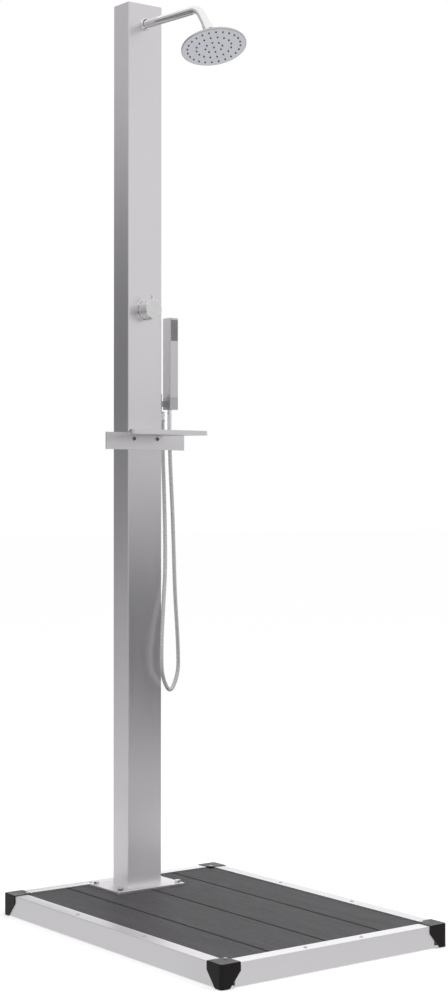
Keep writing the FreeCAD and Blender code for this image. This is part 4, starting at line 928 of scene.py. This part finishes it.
class SHOWER_OT_hose(Operator):
    """Spiral wound hose from the outlet to the hand shower"""

    bl_idname = "shower.hose"
    bl_label = "Hose"

    def execute(self, context):
        sizes = context.scene.shower_sizes
        route = hose_line(context)
        path = route_points(route)
        length = sum((b - a).length for a, b in zip(path, path[1:]))
        hose = wound_tube(route, length, sizes)
        bpy.data.objects.remove(route)
        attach(hose, "stand")
        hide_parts("shower_hose")
        hose.data.materials.append(hose_steel(context.scene.shower_finishes.hose))
        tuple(HOSE_ROUTE[0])
        [tuple(point) for point in path]
        return {"FINISHED"}


def hose_line(context):
    """The hose's own line as one smooth spline."""
    data = bpy.data.curves.new("hose_line", "CURVE")
    data.dimensions = "3D"
    data.resolution_u = 24
    data.twist_mode = "MINIMUM"
    spline = data.splines.new("NURBS")
    spline.points.add(len(HOSE_ROUTE) - 1)
    for point, place in zip(spline.points, HOSE_ROUTE):
        point.co = (*place, 1)
    spline.order_u = 3
    spline.use_endpoint_u = True
    route = bpy.data.objects.new("hose_line", data)
    context.scene.collection.objects.link(route)
    return route


def route_points(route):
    """The points that the hose's line passes, in order."""
    bpy.context.view_layer.update()
    graph = bpy.context.evaluated_depsgraph_get()
    line = bpy.data.meshes.new_from_object(route.evaluated_get(graph))
    points = [corner.co.copy() for corner in line.vertices]
    bpy.data.meshes.remove(line)
    return points


def wound_tube(route, length, sizes):
    """One turn of the winding, repeated down the length and bent along the route."""
    turns = round(length / sizes.hose_pitch)
    pitch = length / turns
    radii = {
        "groove": HOSE_RADIUS - sizes.hose_groove,
        "shoulder": HOSE_RADIUS - sizes.hose_groove * HOSE_SHOULDER,
        "crest": HOSE_RADIUS,
    }
    made = bmesh.new()
    corners = [made.verts.new((pitch * share, 0, radii[level])) for share, level in HOSE_TURN]
    edges = [made.edges.new(pair) for pair in zip(corners, corners[1:])]
    bmesh.ops.spin(
        made, geom=corners + edges, cent=(0, 0, 0), axis=(1, 0, 0), angle=math.tau,
        steps=sizes.hose_sides, use_merge=True,
    )
    bmesh.ops.recalc_face_normals(made, faces=made.faces)
    mesh = bpy.data.meshes.new("shower_hose_wound")
    made.to_mesh(mesh)
    made.free()
    hose = bpy.data.objects.new("shower_hose_wound", mesh)
    bpy.context.scene.collection.objects.link(hose)
    repeat = hose.modifiers.new("turns", "ARRAY")
    repeat.count = turns
    repeat.use_relative_offset = False
    repeat.use_constant_offset = True
    repeat.constant_offset_displace = (pitch, 0, 0)
    repeat.use_merge_vertices = True
    repeat.merge_threshold = SAME_CORNER
    bend = hose.modifiers.new("bend", "CURVE")
    bend.object = route
    bend.deform_axis = "POS_X"
    mesh = apply_modifiers(hose)
    close = bmesh.new()
    close.from_mesh(mesh)
    bmesh.ops.remove_doubles(close, verts=close.verts, dist=SAME_CORNER)
    bmesh.ops.holes_fill(close, edges=[edge for edge in close.edges if edge.is_boundary], sides=0)
    bmesh.ops.recalc_face_normals(close, faces=close.faces)
    for face in close.faces:
        face.smooth = len(face.verts) < 5
    close.to_mesh(mesh)
    close.free()
    return hose


def hose_steel(colour):
    """Wound steel that handling has dulled in places."""
    finish = Finish("hose_steel", 1.0, 0.24)
    wear = finish.noise((400, 400, 400), detail=3)
    finish.colour(wear, shade(colour, 0.9), shade(colour, 1.06))
    finish.roughness(wear, 0.18, 0.32)
    return finish.material


class SHOWER_PT_panel(Panel):
    """Lists the shower's groups of pieces"""

    bl_idname = "SHOWER_PT_panel"
    bl_label = "Outdoor shower"
    bl_space_type = "VIEW_3D"
    bl_region_type = "UI"
    bl_category = "Shower"

    def draw(self, context):
        for operator in OPERATORS:
            self.layout.operator(operator.bl_idname)
        for group in (context.scene.shower_finishes, context.scene.shower_sizes, context.scene.shower_stage):
            box = self.layout.box()
            for name in group.__annotations__:
                box.prop(group, name)


OPERATORS = (
    SHOWER_OT_stage, SHOWER_OT_hose, SHOWER_OT_tray, SHOWER_OT_post, SHOWER_OT_plumbing, SHOWER_OT_valve,
    SHOWER_OT_rain_head, SHOWER_OT_hand_shower, SHOWER_OT_shelf, SHOWER_OT_screws,
)
CLASSES = (ShowerFinishes, ShowerSizes, ShowerStage, *OPERATORS, SHOWER_PT_panel)


def register():
    for each in CLASSES:
        bpy.utils.register_class(each)
    bpy.types.Scene.shower_finishes = PointerProperty(type=ShowerFinishes)
    bpy.types.Scene.shower_sizes = PointerProperty(type=ShowerSizes)
    bpy.types.Scene.shower_stage = PointerProperty(type=ShowerStage)


def unregister():
    del bpy.types.Scene.shower_stage
    del bpy.types.Scene.shower_sizes
    del bpy.types.Scene.shower_finishes
    for each in reversed(CLASSES):
        bpy.utils.unregister_class(each)


def main():
    register()
    bpy.ops.shower.stage()
    bpy.ops.shower.hose()
    bpy.ops.shower.tray()
    bpy.ops.shower.post()
    bpy.ops.shower.plumbing()
    bpy.ops.shower.valve()
    bpy.ops.shower.rain_head()
    bpy.ops.shower.hand_shower()
    bpy.ops.shower.shelf()
    bpy.ops.shower.screws()
    boxes = {"cad": CAD_BOX, "visual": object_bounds()}
    {name: [list(corner) for corner in box] for name, box in boxes.items()}


if __name__ == "__main__":
    main()
